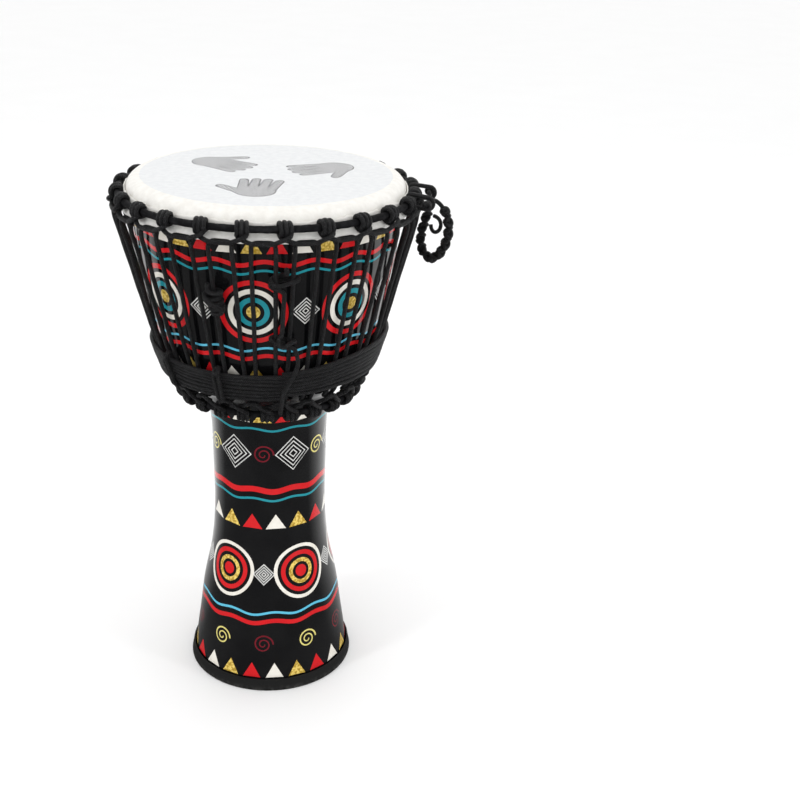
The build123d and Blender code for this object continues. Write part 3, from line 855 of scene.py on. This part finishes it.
# %% Cloth on the rings
def weave_mask(tree, size):
    """The over and under of a plain weave, in the piece's own coordinates."""
    place = node(tree, "ShaderNodeTexCoord").outputs["Object"]
    scaled = vector_calc(tree, "SCALE", place, 2 * pi / size)
    parts = node(tree, "ShaderNodeSeparateXYZ", {0: scaled}).outputs
    crossing = calc(tree, "MULTIPLY", calc(tree, "SINE", parts[0]), calc(tree, "SINE", parts[1]))
    return calc(tree, "MULTIPLY", crossing, calc(tree, "COSINE", parts[2]))


cloth_black, tree, shader = new_material("cloth_black", 0.8, Specular_IOR_Level=0.2)
threads = weave_mask(tree, 0.0011)
worn = spread(tree, grain(tree, 160.0, 4.0), 0.45, 0.75)
shade = blend_colours(tree, worn, (0.004, 0.004, 0.005, 1), (0.018, 0.018, 0.020, 1))
tree.links.new(shade, shader.inputs["Base Color"])
cloth_height = calc(tree, "ADD", calc(tree, "MULTIPLY", threads, 0.35), grain(tree, 700.0))
raise_bump(tree, shader, cloth_height, 0.7, 0.0003)


def ring_cloth(name, ring_radius, ring_height, laps):
    """The wound strip: a torus whose section creeps outwards over each lap."""
    around = 720
    section = 14
    turn = np.repeat(np.arange(around) * 2 * pi / around, section)
    tilt = np.tile(np.arange(section) * 2 * pi / section, around)
    lap = (turn * laps / (2 * pi) + tilt / (2 * pi)) % 1.0
    swell = 0.10 * np.sin(turn * 37.0 + 1.3 * np.sin(turn * 11.0))
    radius = RING_WRAP - 0.30 + 0.22 * lap + swell * 0.8
    flat = ring_radius + radius * np.cos(tilt)
    height = ring_height + radius * np.sin(tilt)
    places = np.stack([flat * np.sin(turn), -flat * np.cos(turn), height], axis=1) * MM
    faces = []
    for a in range(around):
        for s in range(section):
            b = (a + 1) % around
            t = (s + 1) % section
            faces.append((a * section + s, b * section + s, b * section + t, a * section + t))
    mesh = bpy.data.meshes.new(name)
    mesh.from_pydata(places.tolist(), [], faces)
    mesh.shade_smooth()
    mesh.materials.append(cloth_black)
    print(name, len(faces), "faces")
    return new_piece(name, mesh)


crown_cloth = ring_cloth("crown_cloth", CROWN_RADIUS, CROWN_HEIGHT, 84)
base_cloth = ring_cloth("base_cloth", BASE_RADIUS, BASE_HEIGHT, 52)
settle(crown_cloth, "ring_cloth", "crown_ring_wrap")
settle(base_cloth, "ring_cloth", "base_ring_wrap")

# %% [markdown]
# Printed surfaces are made as flat artwork first. Every shape is a polygon with an ink, listed
# in the order it is laid down, on a plane that holds the unrolled surface. A constrained
# Delaunay triangulation cuts the plane along all the outlines at once, each triangle takes the
# ink of the last shape over it, and the plane is then rolled on to the drum. Edges stay
# perfectly sharp at any distance, and no picture is needed.

# %% Artwork helpers
def arc_points(centre, radius, start, stop, squash=1.0):
    """Points along an arc, from one direction to another, in degrees."""
    count = max(3, int(abs(stop - start) / 9) + 1)
    points = []
    for step in range(count + 1):
        turn = radians(start + (stop - start) * step / count)
        points.append((centre[0] + radius * cos(turn), centre[1] + squash * radius * sin(turn)))
    return points


def stroke(points, first_width, last_width, middle_width=None):
    """A line of changing width, as one outline."""
    left = []
    right = []
    for index, point in enumerate(points):
        before = points[max(index - 1, 0)]
        after = points[min(index + 1, len(points) - 1)]
        run = hypot(after[0] - before[0], after[1] - before[1]) or 1.0
        share = index / (len(points) - 1)
        width = first_width + (last_width - first_width) * share
        if middle_width is not None:
            width += (middle_width - width) * (1.0 - (2.0 * share - 1.0) ** 2)
        across = ((before[1] - after[1]) / run * width / 2, (after[0] - before[0]) / run * width / 2)
        left.append((point[0] + across[0], point[1] + across[1]))
        right.append((point[0] - across[0], point[1] - across[1]))
    return left + right[::-1]


def disc(centre, radius, squash=1.0):
    """A filled circle."""
    return arc_points(centre, radius, 0.0, 360.0, squash)[:-1]


def arc_band(centre, radius, width, start, stop, squash=1.0):
    """Part of a ring."""
    return stroke(arc_points(centre, radius, start, stop, squash), width, width)


def signed_area(outline):
    """Above zero where an outline runs anticlockwise, as the triangulation needs."""
    return sum(a[0] * b[1] - b[0] * a[1] for a, b in zip(outline, outline[1:] + outline[:1])) / 2


def triangulate(frame_shape, loose, shapes):
    """Cuts the frame along every shape, and gives each triangle the last ink over it."""
    points = list(frame_shape) + list(loose)
    outlines = [list(range(len(frame_shape)))]
    inks = [None]
    for ink, outline in shapes:
        first = len(points)
        points += outline if signed_area(outline) > 0.0 else outline[::-1]
        outlines.append(list(range(first, len(points))))
        inks.append(ink)
    flat = [Vector(point) for point in points]
    corners, _, triangles, _, _, owners = delaunay_2d_cdt(flat, [], outlines, 0, 1e-5, True)
    kept = []
    colours = []
    for triangle, owner in zip(triangles, owners):
        if 0 in owner:
            kept.append(triangle)
            colours.append(inks[max(owner)])
    return corners, kept, colours


print("artwork helpers ready")

# %% [markdown]
# The skin is synthetic, with a felt-like face. It runs flat across the drum, rolls over the
# bearing edge, goes down inside the hoop, round under it and up again behind the ring, where it
# is trimmed by hand, so its edge is ragged. Its field is printed grey-white with three plain
# hatched hands, evenly spaced round the drum and pointing at its middle.

# %% Hands
FIELD_RADIUS = 113.4
FLAT_RADIUS = 114.0
HEAD_TOP = 506.0


def eased_line(points):
    """A line through the same points, eased round its bends."""
    ends = [points[0]] + list(points) + [points[-1]]
    smooth = []
    for before, start, stop, after in zip(ends, ends[1:], ends[2:], ends[3:]):
        for step in range(5):
            t = step / 5
            place = []
            for i in (0, 1):
                cubic = 3 * (start[i] - stop[i]) + after[i] - before[i]
                square = 2 * before[i] - 5 * start[i] + 4 * stop[i] - after[i]
                place.append(start[i] + 0.5 * t * (stop[i] - before[i] + t * (square + t * cubic)))
            smooth.append(tuple(place))
    return smooth + [points[-1]]


def finger(base, tip, base_radius, tip_radius):
    """A tapered finger with a long rounded tip, as one outline."""
    lie = atan2(tip[1] - base[1], tip[0] - base[0])
    outline = arc_points(base, base_radius, degrees(lie) + 90.0, degrees(lie) + 270.0)
    for turn in range(-90, 91, 15):
        ahead = 1.35 * tip_radius * cos(radians(turn))
        side = tip_radius * sin(radians(turn))
        outline.append((tip[0] + ahead * cos(lie) - side * sin(lie), tip[1] + ahead * sin(lie) + side * cos(lie)))
    return outline


def hand(palm, fingers):
    """A hand: the palm in outline ink, each finger outlined and hatched, then the palm's hatching."""
    shapes = []
    if palm:
        across = sum(x for x, _ in palm) / len(palm)
        along = sum(y for _, y in palm) / len(palm)
        wider = []
        for x, y in palm:
            reach = hypot(x - across, y - along)
            wider.append((x + 1.1 * (x - across) / reach, y + 1.1 * (y - along) / reach))
        shapes.append(("line", wider))
    for base, tip, wide, narrow in fingers:
        shapes.append(("line", finger(base, tip, wide + 0.3, narrow + 0.4)))
        shapes.append(("hatch", finger(base, tip, wide - 0.7, narrow - 0.7)))
    if palm:
        shapes.append(("hatch", palm))
    return shapes


PALM_RADIUS = 17.0
HAND_OUT = 66.0


def place(point, middle, lie):
    """A point of a hand that points along X, turned and moved to its place on the head."""
    x, y = point
    return middle[0] + x * cos(lie) - y * sin(lie), middle[1] + x * sin(lie) + y * cos(lie)


head_shapes = []
for turn in (30.0, 150.0, 270.0):
    middle = (HAND_OUT * cos(radians(turn)), HAND_OUT * sin(radians(turn)))
    lie = radians(turn + 180.0)
    palm = [place(point, middle, lie) for point in disc((0.0, 0.0), PALM_RADIUS)]
    fingers = []
    for number in (-1.5, -0.5, 0.5, 1.5):
        base = place((10.0, 8.4 * number), middle, lie)
        tip = place((40.0 - 3.0 * abs(number), 10.4 * number), middle, lie)
        fingers.append((base, tip, 4.6, 3.9))
    fingers.append((place((-4.0, 11.0), middle, lie), place((12.0, 31.0), middle, lie), 5.4, 4.4))
    head_shapes += hand(palm, fingers)
AROUND_HEAD = 240
edge_ring = [(FLAT_RADIUS * sin(2 * pi * s / AROUND_HEAD), -FLAT_RADIUS * cos(2 * pi * s / AROUND_HEAD)) for s in range(AROUND_HEAD)]
head_loose = []
for ring_number in range(1, 18):
    radius = FLAT_RADIUS * ring_number / 18.5
    for step in range(6 * ring_number):
        turn = 2 * pi * (step + 0.5 * (ring_number % 2)) / (6 * ring_number)
        head_loose.append((radius * cos(turn), radius * sin(turn)))
head_shapes.insert(0, ("field", disc((0.0, 0.0), FIELD_RADIUS)))
head_corners, head_triangles, head_inks = triangulate(edge_ring, head_loose, head_shapes)
print("printed head:", len(head_triangles), "triangles in", len(head_shapes), "shapes")

# %% [markdown]
# The rest of the skin is one section turned round the drum, with the thickness built in: over
# the edge, round the hoop, up to the trimmed flap and all the way back underneath. The flap's
# height and lean change round the drum, and the fold over the hoop swells between knots where
# nothing presses on it.

# %% Skin body
SHOULDER = (114.0, 494.3)
HOOP_CENTRE = (128.3, 481.5)
skin_section = [(FLAT_RADIUS, HEAD_TOP)]
for step in range(1, 9):
    turn = radians(90.0 - 90.0 * step / 8)
    skin_section.append((SHOULDER[0] + 11.7 * cos(turn), SHOULDER[1] + 11.7 * sin(turn)))
skin_section += [(125.8, 489.0), (125.95, 484.0)]
for step in range(11):
    turn = radians(180.0 + 24.0 * step)
    skin_section.append((HOOP_CENTRE[0] + 2.3 * cos(turn), HOOP_CENTRE[1] + 2.3 * sin(turn)))
flap_start = len(skin_section)
skin_section += [(126.4, 486.8), (126.3, 490.0), (126.4, 493.0), (126.4, 495.2), (126.5, 496.8)]
skin_section += [(127.3, 496.8), (127.4, 495.2), (127.4, 493.0), (127.4, 490.0), (127.4, 487.2)]
flap_end = len(skin_section)
for step in range(11):
    turn = radians(60.0 - 24.0 * step)
    skin_section.append((HOOP_CENTRE[0] + 3.3 * cos(turn), HOOP_CENTRE[1] + 3.3 * sin(turn)))
skin_section += [(124.75, 484.0), (124.72, 489.0)]
for step in range(9):
    turn = radians(90.0 * step / 8)
    skin_section.append((SHOULDER[0] + 10.75 * cos(turn), SHOULDER[1] + 10.75 * sin(turn)))
skin_section += [(90.0, 505.0), (60.0, 505.0), (30.0, 505.0), (0.0, 505.0)]


def trimmed(angle_share, index, radius, height):
    """How one point of the section moves at one place round the drum."""
    turn = 2 * pi * angle_share
    if flap_start <= index < flap_end:
        lift = (height - 486.8) / 10.0
        ragged = 0.55 * sin(29 * turn) + 0.5 * sin(53 * turn + 1.0) + 0.4 * sin(97 * turn + 2.0) - 0.5
        return radius + 0.35 * lift * sin(41 * turn + 0.7), height + lift * ragged
    if index >= flap_end - 4 and radius > HOOP_CENTRE[0]:
        swell = 0.22 * cos(24 * turn + pi) + 0.12 * sin(61 * turn)
        return radius + swell, height + 0.6 * swell
    return radius, height


skin_mesh = bmesh.new()
grid = []
for step in range(AROUND_HEAD):
    share = step / AROUND_HEAD
    turn = 2 * pi * share
    column = []
    for index, (radius, height) in enumerate(skin_section):
        r, z = trimmed(share, index, radius, height)
        column.append(skin_mesh.verts.new((r * sin(turn) * MM, -r * cos(turn) * MM, z * MM)))
    grid.append(column)
for step in range(AROUND_HEAD):
    here = grid[step]
    there = grid[(step + 1) % AROUND_HEAD]
    for index in range(len(skin_section) - 1):
        face = skin_mesh.faces.new((here[index], here[index + 1], there[index + 1], there[index]))
        face.material_index = 0
        face.smooth = True
head_materials = {"field": 1, "hatch": 2, "line": 3, None: 0}
top = [skin_mesh.verts.new((x * MM, y * MM, HEAD_TOP * MM)) for x, y in head_corners]
for triangle, ink in zip(head_triangles, head_inks):
    face = skin_mesh.faces.new([top[corner] for corner in triangle])
    face.material_index = head_materials[ink]
    face.smooth = True
bmesh.ops.remove_doubles(skin_mesh, verts=skin_mesh.verts, dist=1e-6)
bmesh.ops.recalc_face_normals(skin_mesh, faces=skin_mesh.faces)
head_data = bpy.data.meshes.new("skin")
skin_mesh.to_mesh(head_data)
skin_mesh.free()
skin = new_piece("skin", head_data)
print("skin", len(head_data.polygons), "faces")

# %% [markdown]
# The skin's finishes: warm white felt on the shoulder and the fold, with fine creases, soft
# mottling and a little brown mixed in above 490 mm; a cooler print ground with the felt's weave
# in it; hatching in wavering diagonal lines; and a dark line ink. The hatching is a sine of the
# place across the lines, pushed about by noise, so its edges waver as a drawn line's do.

# %% Skin finishes
def felt(tree, shader, pale, shaded, strength):
    """A fibrous face: fine weave and soft mottling."""
    weave = weave_mask(tree, 0.0016)
    fibres = grain(tree, 900.0, 4.0)
    mottled = spread(tree, grain(tree, 170.0, 5.0), 0.38, 0.66)
    base = blend_colours(tree, mottled, shaded, pale)
    wrinkles = calc(tree, "MULTIPLY", grain(tree, 210.0, 2.0), 2.5)
    height = calc(tree, "ADD", calc(tree, "MULTIPLY", weave, 0.5), calc(tree, "ADD", fibres, wrinkles))
    raise_bump(tree, shader, height, strength, 0.00025)
    return base


skin_white, tree, shader = new_material("skin_white", 0.55, Subsurface_Weight=0.0)
base = felt(tree, shader, (0.88, 0.875, 0.845, 1), (0.80, 0.79, 0.755, 1), 0.5)
place = node(tree, "ShaderNodeTexCoord").outputs["Object"]
level_up = node(tree, "ShaderNodeSeparateXYZ", {0: place}).outputs[2]
# a little brown is mixed into the felt, rising from 484 mm to 490 mm high and full above that
upper_brown_tint = spread(tree, level_up, 0.484, 0.490, 0.0, 0.16)
base = blend_colours(tree, upper_brown_tint, base, (0.56, 0.50, 0.43, 1))
tree.links.new(base, shader.inputs["Base Color"])

print_ground, tree, shader = new_material("print_ground", 0.6)
base = felt(tree, shader, (0.735, 0.745, 0.75, 1), (0.685, 0.695, 0.705, 1), 0.5)
tree.links.new(base, shader.inputs["Base Color"])

hatching, tree, shader = new_material("hatching", 0.6)
ground = felt(tree, shader, (0.72, 0.72, 0.73, 1), (0.62, 0.62, 0.63, 1), 0.5)
place = node(tree, "ShaderNodeTexCoord").outputs["Object"]
parts = node(tree, "ShaderNodeSeparateXYZ", {0: place}).outputs
wander = calc(tree, "MULTIPLY", grain(tree, 120.0, 2.0), 0.0040)
across = calc(tree, "ADD", calc(tree, "ADD", parts[0], calc(tree, "MULTIPLY", parts[1], 0.62)), wander)
ink_line = spread(tree, calc(tree, "SINE", calc(tree, "MULTIPLY", across, 2 * pi / 0.0030)), -0.3, 0.1)
broken = spread(tree, grain(tree, 480.0, 2.0), 0.42, 0.50, 0.35, 1.0)
ink_share = calc(tree, "MULTIPLY", ink_line, broken)
tree.links.new(blend_colours(tree, ink_share, ground, (0.035, 0.035, 0.037, 1)), shader.inputs["Base Color"])

line_ink, tree, shader = new_material("line_ink", 0.5)
patchy = spread(tree, grain(tree, 600.0, 3.0), 0.35, 0.7)
tree.links.new(blend_colours(tree, patchy, (0.012, 0.012, 0.013, 1), (0.06, 0.06, 0.062, 1)), shader.inputs["Base Color"])
raise_bump(tree, shader, grain(tree, 900.0), 0.3, 0.0002)
for finish in (skin_white, print_ground, hatching, line_ink):
    head_data.materials.append(finish)
settle(skin, "skin", "drumhead")

# %% [markdown]
# The shell is one glossy moulding, black, with a bright pattern printed round it. The print is
# drawn unrolled: across is the angle round the drum and up is the height. Each motif is drawn in
# millimetres about its own middle, so it keeps its shape whatever the radius is there, and
# is repeated one turn to each side so that nothing breaks at the join. The pattern is
# rows of plain figures: triangles, rings, nested diamonds, spirals and waves.

# %% Shell profile
SHELL_FOOT = 3.0
SHELL_SHOULDER = 494.3
OUTLINE = [(79.0, 3.0), (75.5, 30.0), (71.2, 60.0), (66.6, 92.0), (60.2, 122.0), (55.9, 155.0)]
OUTLINE += [(54.8, 200.0), (55.4, 240.0), (59.0, 284.0), (68.0, 304.5), (83.0, 322.0)]
OUTLINE += [(96.5, 342.0), (106.5, 374.0), (115.5, 420.0), (122.5, 468.0), (124.7, 494.3)]
shell_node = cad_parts["shell"]
shell_points = np.array([vertex.co[:] for vertex in shell_node.data.vertices]) / MM
shell_radii = np.hypot(shell_points[:, 0], shell_points[:, 1])
rough = np.interp(shell_points[:, 2], [z for _, z in OUTLINE], [r for r, _ in OUTLINE])
outer = (shell_radii > rough - 2.0) & (shell_points[:, 2] < SHELL_SHOULDER + 0.01)
measured = {}
for height, radius in zip(np.round(shell_points[outer, 2], 1), shell_radii[outer]):
    measured[height] = max(radius, measured.get(height, 0.0))
profile_heights = np.array(sorted(measured))
profile_radii = np.array([measured[height] for height in profile_heights])


def shell_radius(height):
    """The shell's outer radius at a height, as the frame has it."""
    return float(np.interp(height, profile_heights, profile_radii))


print("shell profile from", len(profile_heights), "levels")

# %% [markdown]
# A small set of drawing words makes the whole print: each adds its shapes, in order, to a list.

# %% Motifs
PRINT_LOW = 6.0
PRINT_HIGH = 490.0
ACROSS = 1.7
TWIST = 2.6
artwork = []


def lay(ink, angle, height, outline):
    """Adds one shape, drawn in millimetres about a place on the shell."""
    if len(outline) < 3:
        return
    unrolled = []
    for x, y in outline:
        level = min(max(height + y, PRINT_LOW), PRINT_HIGH)
        unrolled.append((angle + TWIST + degrees(x / shell_radius(level)), level))
    for turn in (-360.0, 0.0, 360.0):
        shifted = [((a + turn) * ACROSS, level) for a, level in unrolled]
        if max(x for x, _ in shifted) > -180.0 * ACROSS and min(x for x, _ in shifted) < 180.0 * ACROSS:
            artwork.append((ink, shifted))


def target(angle, height, rings, squash=1.0):
    """Discs on discs, from the outside in."""
    for ink, radius in rings:
        lay(ink, angle, height, disc((0.0, 0.0), radius, squash))


def brush(ink, angle, height, points, first, last, middle=None):
    """A painted line, eased round its bends."""
    lay(ink, angle, height, stroke(eased_line(points), first, last, middle))


def curl(ink, angle, height, radius, turns, width, start=0.0, sense=1.0):
    """A spiral, wound in from its rim."""
    points = []
    count = int(turns * 20)
    for step in range(count + 1):
        turn = radians(start + sense * 360.0 * turns * step / count)
        reach = radius * (1.0 - 0.86 * step / count)
        points.append((reach * cos(turn), reach * sin(turn)))
    brush(ink, angle, height, points, width, width * 0.7)


def nest(ink, angle, height, size, count, width, squash=1.0):
    """Diamonds inside one another, in thin lines."""
    for ring in range(count):
        reach = size * (1.0 - ring / count)
        corners = [(reach, 0.0), (0.0, reach * squash), (-reach, 0.0), (0.0, -reach * squash)]
        lay(ink, angle, height, corners)
        inner = reach - width * 1.7
        if inner > 0.0:
            lay("black", angle, height, [(x * inner / reach, y * inner / reach) for x, y in corners])


def wave(ink, angle, height, length, swing, waves, width, tilt=0.0):
    """A wavy line."""
    points = []
    for step in range(waves * 8 + 1):
        share = step / (waves * 8)
        x = length * (share - 0.5)
        points.append((x, swing * sin(2 * pi * waves * share) + tilt * x))
    brush(ink, angle, height, points, width, width)


print("drawing words ready")

# %% [markdown]
# The print is made of rows. Each row is one plain figure, repeated evenly right round the shell.

# %% Rows
TRIANGLE_INKS = ("gold", "red", "cream")
CURL_INKS = ("yellow", "wine")


def triangle_row(height, count, half_width, half_height):
    """Triangles standing side by side."""
    corners = [(-half_width, -half_height), (half_width, -half_height), (0.0, half_height)]
    for index in range(count):
        lay(TRIANGLE_INKS[index % 3], 360.0 * index / count - 180.0, height, corners)


def ring_row(height, count, rings):
    """Rings inside one another."""
    for index in range(count):
        target(360.0 * index / count - 180.0, height, rings)


def diamond_row(height, count, size):
    """Nested diamonds, half a step on from the rings."""
    for index in range(count):
        nest("thin", 360.0 * (index + 0.5) / count - 180.0, height, size, 4, 0.8)


def curl_row(height, count, radius):
    """Spirals in two inks by turns."""
    for index in range(count):
        curl(CURL_INKS[index % 2], 360.0 * index / count - 180.0, height, radius, 2.0, 1.6)


def wave_row(ink, height, swing, waves, width):
    """One wavy line that meets itself."""
    wave(ink, 0.0, height, 2 * pi * shell_radius(height), swing, waves, width)


# %% Bowl print
triangle_row(476, 36, 9, 8)
wave_row("red", 459, 2.0, 18, 4.0)
wave_row("teal", 451, 2.0, 18, 2.2)
bowl_rings = [("red", 30), ("black", 25.5), ("cream", 22), ("black", 17.5), ("teal", 14), ("black", 9.5)]
ring_row(414, 8, bowl_rings + [("gold", 6)])
diamond_row(414, 8, 13)
wave_row("sky", 377, 2.0, 16, 2.2)
wave_row("red", 369, 2.0, 16, 4.0)
triangle_row(352, 30, 9, 7)
print("bowl:", len(artwork), "shapes")

# %% Stem print
triangle_row(292, 18, 9, 7)
wave_row("teal", 277, 1.4, 9, 2.4)
curl_row(250, 6, 10)
diamond_row(250, 6, 18)
wave_row("red", 212, 1.4, 9, 6.0)
wave_row("teal", 202, 1.4, 9, 2.4)
triangle_row(178, 15, 10, 8)
stem_rings = [("cream", 28), ("black", 24.5), ("red", 21), ("black", 16.5), ("gold", 13), ("black", 9)]
ring_row(122, 5, stem_rings + [("red", 6)])
diamond_row(122, 5, 11)
wave_row("sky", 82, 1.6, 10, 2.4)
wave_row("red", 73, 1.6, 10, 4.5)
curl_row(49, 10, 10)
triangle_row(21, 21, 9, 8)
print("all round:", len(artwork), "shapes")

# %% [markdown]
# The drawing is cut, rolled round the shell's own profile and closed with the bearing edge, the
# inner wall and the lower edge. Normals come from the profile, so the many small triangles
# along the outlines don't show in the gloss.

# %% Printed shell
DEGREES_APART = 3.0
LEVELS_APART = 6.5
half_width = 180.0 * ACROSS
columns = int(360.0 / DEGREES_APART)
column_places = [-half_width + 2 * half_width * step / columns for step in range(columns + 1)]
levels = list(np.linspace(SHELL_FOOT, SHELL_SHOULDER, int((SHELL_SHOULDER - SHELL_FOOT) / LEVELS_APART) + 1))
border = [(x, SHELL_FOOT) for x in column_places] + [(half_width, float(level)) for level in levels[1:]]
border += [(x, SHELL_SHOULDER) for x in column_places[-2::-1]]
border += [(-half_width, float(level)) for level in levels[-2:0:-1]]
loose = []
for row, level in enumerate(levels[1:-1]):
    lean = 0.5 * (row % 2)
    for step in range(1 - row % 2, columns):
        loose.append((-half_width + 2 * half_width * (step + lean) / columns, float(level)))
flat_corners, flat_triangles, flat_inks = triangulate(border, loose, artwork)
print("printed surface:", len(flat_triangles), "triangles")

inner_wall = [(r - 5.0, z) for r, z in OUTLINE[1:-1]]
rolled = bmesh.new()
surface = []
for corner in flat_corners:
    turn = corner.x / ACROSS
    surface.append(rolled.verts.new(at(turn, shell_radius(corner.y), corner.y) * MM))
INKS = ["black", "red", "cream", "thin", "gold", "teal", "yellow", "sky", "wine"]
for triangle, ink in zip(flat_triangles, flat_inks):
    face = rolled.faces.new([surface[corner] for corner in triangle])
    face.material_index = INKS.index(ink or "black")
edge_section = [(SHOULDER[0] + 10.7 * cos(radians(turn)), SHOULDER[1] + 10.7 * sin(radians(turn))) for turn in range(0, 91, 15)]
closing = [(shell_radius(SHELL_SHOULDER), SHELL_SHOULDER)] + edge_section[1:] + [(111.5, 505.0), (inner_wall[-1][0] - 1.0, 481.0)]
closing += inner_wall[::-1] + [(74.0, SHELL_FOOT), (shell_radius(SHELL_FOOT), SHELL_FOOT)]
rings = []
for radius, height in closing:
    rings.append([rolled.verts.new(at(x / ACROSS, radius, height) * MM) for x in column_places[:-1]])
for lower, upper in zip(rings, rings[1:]):
    for step in range(columns):
        after = (step + 1) % columns
        face = rolled.faces.new((lower[step], lower[after], upper[after], upper[step]))
        face.material_index = len(INKS)
bmesh.ops.remove_doubles(rolled, verts=rolled.verts, dist=2e-6)
bmesh.ops.recalc_face_normals(rolled, faces=rolled.faces)
for face in rolled.faces:
    face.smooth = True
shell_mesh = bpy.data.meshes.new("printed_shell")
rolled.to_mesh(shell_mesh)
open_edges = sum(1 for edge in rolled.edges if len(edge.link_faces) != 2)
rolled.free()
printed_shell = new_piece("printed_shell", shell_mesh)
print("printed shell", len(shell_mesh.polygons), "faces,", open_edges, "open edges")

# %% [markdown]
# Normals on the printed side are worked out from the slope of the profile at each vertex.

# %% Shell normals
slopes = np.gradient(profile_radii, profile_heights)
normals = []
for vertex in shell_mesh.vertices:
    x, y, z = vertex.co / MM
    radius = hypot(x, y)
    if z <= SHELL_SHOULDER and radius > shell_radius(z) - 0.5 and z > SHELL_FOOT + 0.01:
        normal = Vector((x / radius, y / radius, -float(np.interp(z, profile_heights, slopes))))
        normals.append(normal.normalized())
    else:
        normals.append(vertex.normal.copy())
shell_mesh.normals_split_custom_set_from_vertices(normals)
print("normals set on", len(normals), "vertices")

# %% [markdown]
# All the inks share one finish: a clear gloss over a slightly uneven surface, with faint rubbing
# and dust. That finish is a shader group, and each ink gives it its own two tones. The gold is
# different: it is broken up, with bright flakes in a darker ground.

# %% Inks
gloss, start, end = new_group(
    "gloss_print",
    "ShaderNodeTree",
    [("Tone", "Color", None), ("Second tone", "Color", None), ("Mottle scale", "Float", 60.0), ("Mottle", "Float", 0.3)],
    [("Colour", "Color"), ("Roughness", "Float"), ("Height", "Float")],
)
mottle = spread(gloss, node(gloss, "ShaderNodeTexNoise", {"Vector": node(gloss, "ShaderNodeTexCoord").outputs["Object"], "Scale": start["Mottle scale"], "Detail": 6.0}).outputs[0], 0.42, 0.60)
share = calc(gloss, "MULTIPLY", mottle, start["Mottle"])
gloss.links.new(blend_colours(gloss, share, start["Tone"], start["Second tone"]), end["Colour"])
rubbed = spread(gloss, grain(gloss, 34.0, 6.0), 0.50, 0.72, 0.10, 0.26)
gloss.links.new(rubbed, end["Roughness"])
gloss.links.new(grain(gloss, 150.0, 2.0), end["Height"])


def ink_material(name, tone, second, scale=60.0, amount=0.3):
    """One printed ink under the clear gloss."""
    material, tree, shader = new_material(name, 0.15, Coat_Weight=0.3, Coat_Roughness=0.04, Specular_IOR_Level=0.35)
    group = tree.nodes.new("ShaderNodeGroup")
    group.node_tree = gloss
    group.inputs["Tone"].default_value = (*tone, 1)
    group.inputs["Second tone"].default_value = (*second, 1)
    group.inputs["Mottle scale"].default_value = scale
    group.inputs["Mottle"].default_value = amount
    tree.links.new(group.outputs["Colour"], shader.inputs["Base Color"])
    tree.links.new(group.outputs["Roughness"], shader.inputs["Roughness"])
    raise_bump(tree, shader, group.outputs["Height"], 0.06, 0.0006)
    return material


ink_finishes = [
    ink_material("shell_black", (0.003, 0.003, 0.0035), (0.008, 0.008, 0.0085), 25.0, 0.5),
    ink_material("ink_red", (0.62, 0.012, 0.016), (0.50, 0.008, 0.012)),
    ink_material("ink_cream", (0.82, 0.79, 0.72), (0.70, 0.66, 0.58), 90.0, 0.5),
    ink_material("ink_thin", (0.72, 0.72, 0.70), (0.5, 0.5, 0.48), 300.0, 0.5),
    ink_material("ink_gold", (0.40, 0.25, 0.03), (0.83, 0.62, 0.16), 420.0, 1.0),
    ink_material("ink_teal", (0.015, 0.25, 0.30), (0.02, 0.32, 0.38)),
    ink_material("ink_yellow", (0.74, 0.66, 0.22), (0.62, 0.53, 0.14), 200.0, 0.5),
    ink_material("ink_sky", (0.10, 0.47, 0.66), (0.14, 0.55, 0.72)),
    ink_material("ink_wine", (0.16, 0.008, 0.016), (0.11, 0.005, 0.01)),
    ink_material("shell_inside", (0.012, 0.012, 0.012), (0.03, 0.03, 0.03), 120.0, 1.0),
]
for finish in ink_finishes:
    shell_mesh.materials.append(finish)
settle(printed_shell, "shell_print", "shell")

# %% [markdown]
# The foot is a channel of matt black rubber, and the rings and the hoop are steel rod. Their
# shapes are right as they come, so only their finishes are made: rubber with fine pores
# and scuffs near the ground, and drawn steel with light streaks and a few brown specks.

# %% Rubber and steel
rubber, tree, shader = new_material("foot_rubber", 0.75, Specular_IOR_Level=0.35)
pores = grain(tree, 1300.0, 3.0)
low_place = node(tree, "ShaderNodeTexCoord").outputs["Object"]
low_level = node(tree, "ShaderNodeSeparateXYZ", {0: low_place}).outputs[2]
scuffed = calc(tree, "MULTIPLY", spread(tree, low_level, 0.0, 0.006, 1.0, 0.0), spread(tree, grain(tree, 220.0, 5.0), 0.42, 0.65))
shade = blend_colours(tree, scuffed, (0.009, 0.009, 0.009, 1), (0.055, 0.053, 0.05, 1))
tree.links.new(shade, shader.inputs["Base Color"])
tree.links.new(spread(tree, pores, 0.3, 0.7, 0.62, 0.85), shader.inputs["Roughness"])
raise_bump(tree, shader, pores, 0.35, 0.0002)

steel, tree, shader = new_material("ring_steel", 0.35, Metallic=1.0)
streaks = grain(tree, 500.0, 5.0)
specks = spread(tree, grain(tree, 160.0, 6.0), 0.60, 0.70)
shade = blend_colours(tree, streaks, (0.40, 0.40, 0.41, 1), (0.62, 0.62, 0.63, 1))
tree.links.new(blend_colours(tree, specks, shade, (0.14, 0.07, 0.035, 1)), shader.inputs["Base Color"])
tree.links.new(spread(tree, streaks, 0.2, 0.8, 0.25, 0.5), shader.inputs["Roughness"])
raise_bump(tree, shader, streaks, 0.2, 0.0002)
for name, finish in (("rubber_foot", rubber), ("crown_ring", steel), ("base_ring", steel), ("flesh_hoop", steel)):
    for material_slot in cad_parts[name].material_slots:
        material_slot.material = finish
print("rubber and steel on", 4, "frame pieces")

# %% Sizes
visual_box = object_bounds()
sizes = {"cad": [list(corner) for corner in cad_box], "visual": [list(corner) for corner in visual_box]}
print("frame", sizes["cad"], "finished", sizes["visual"])
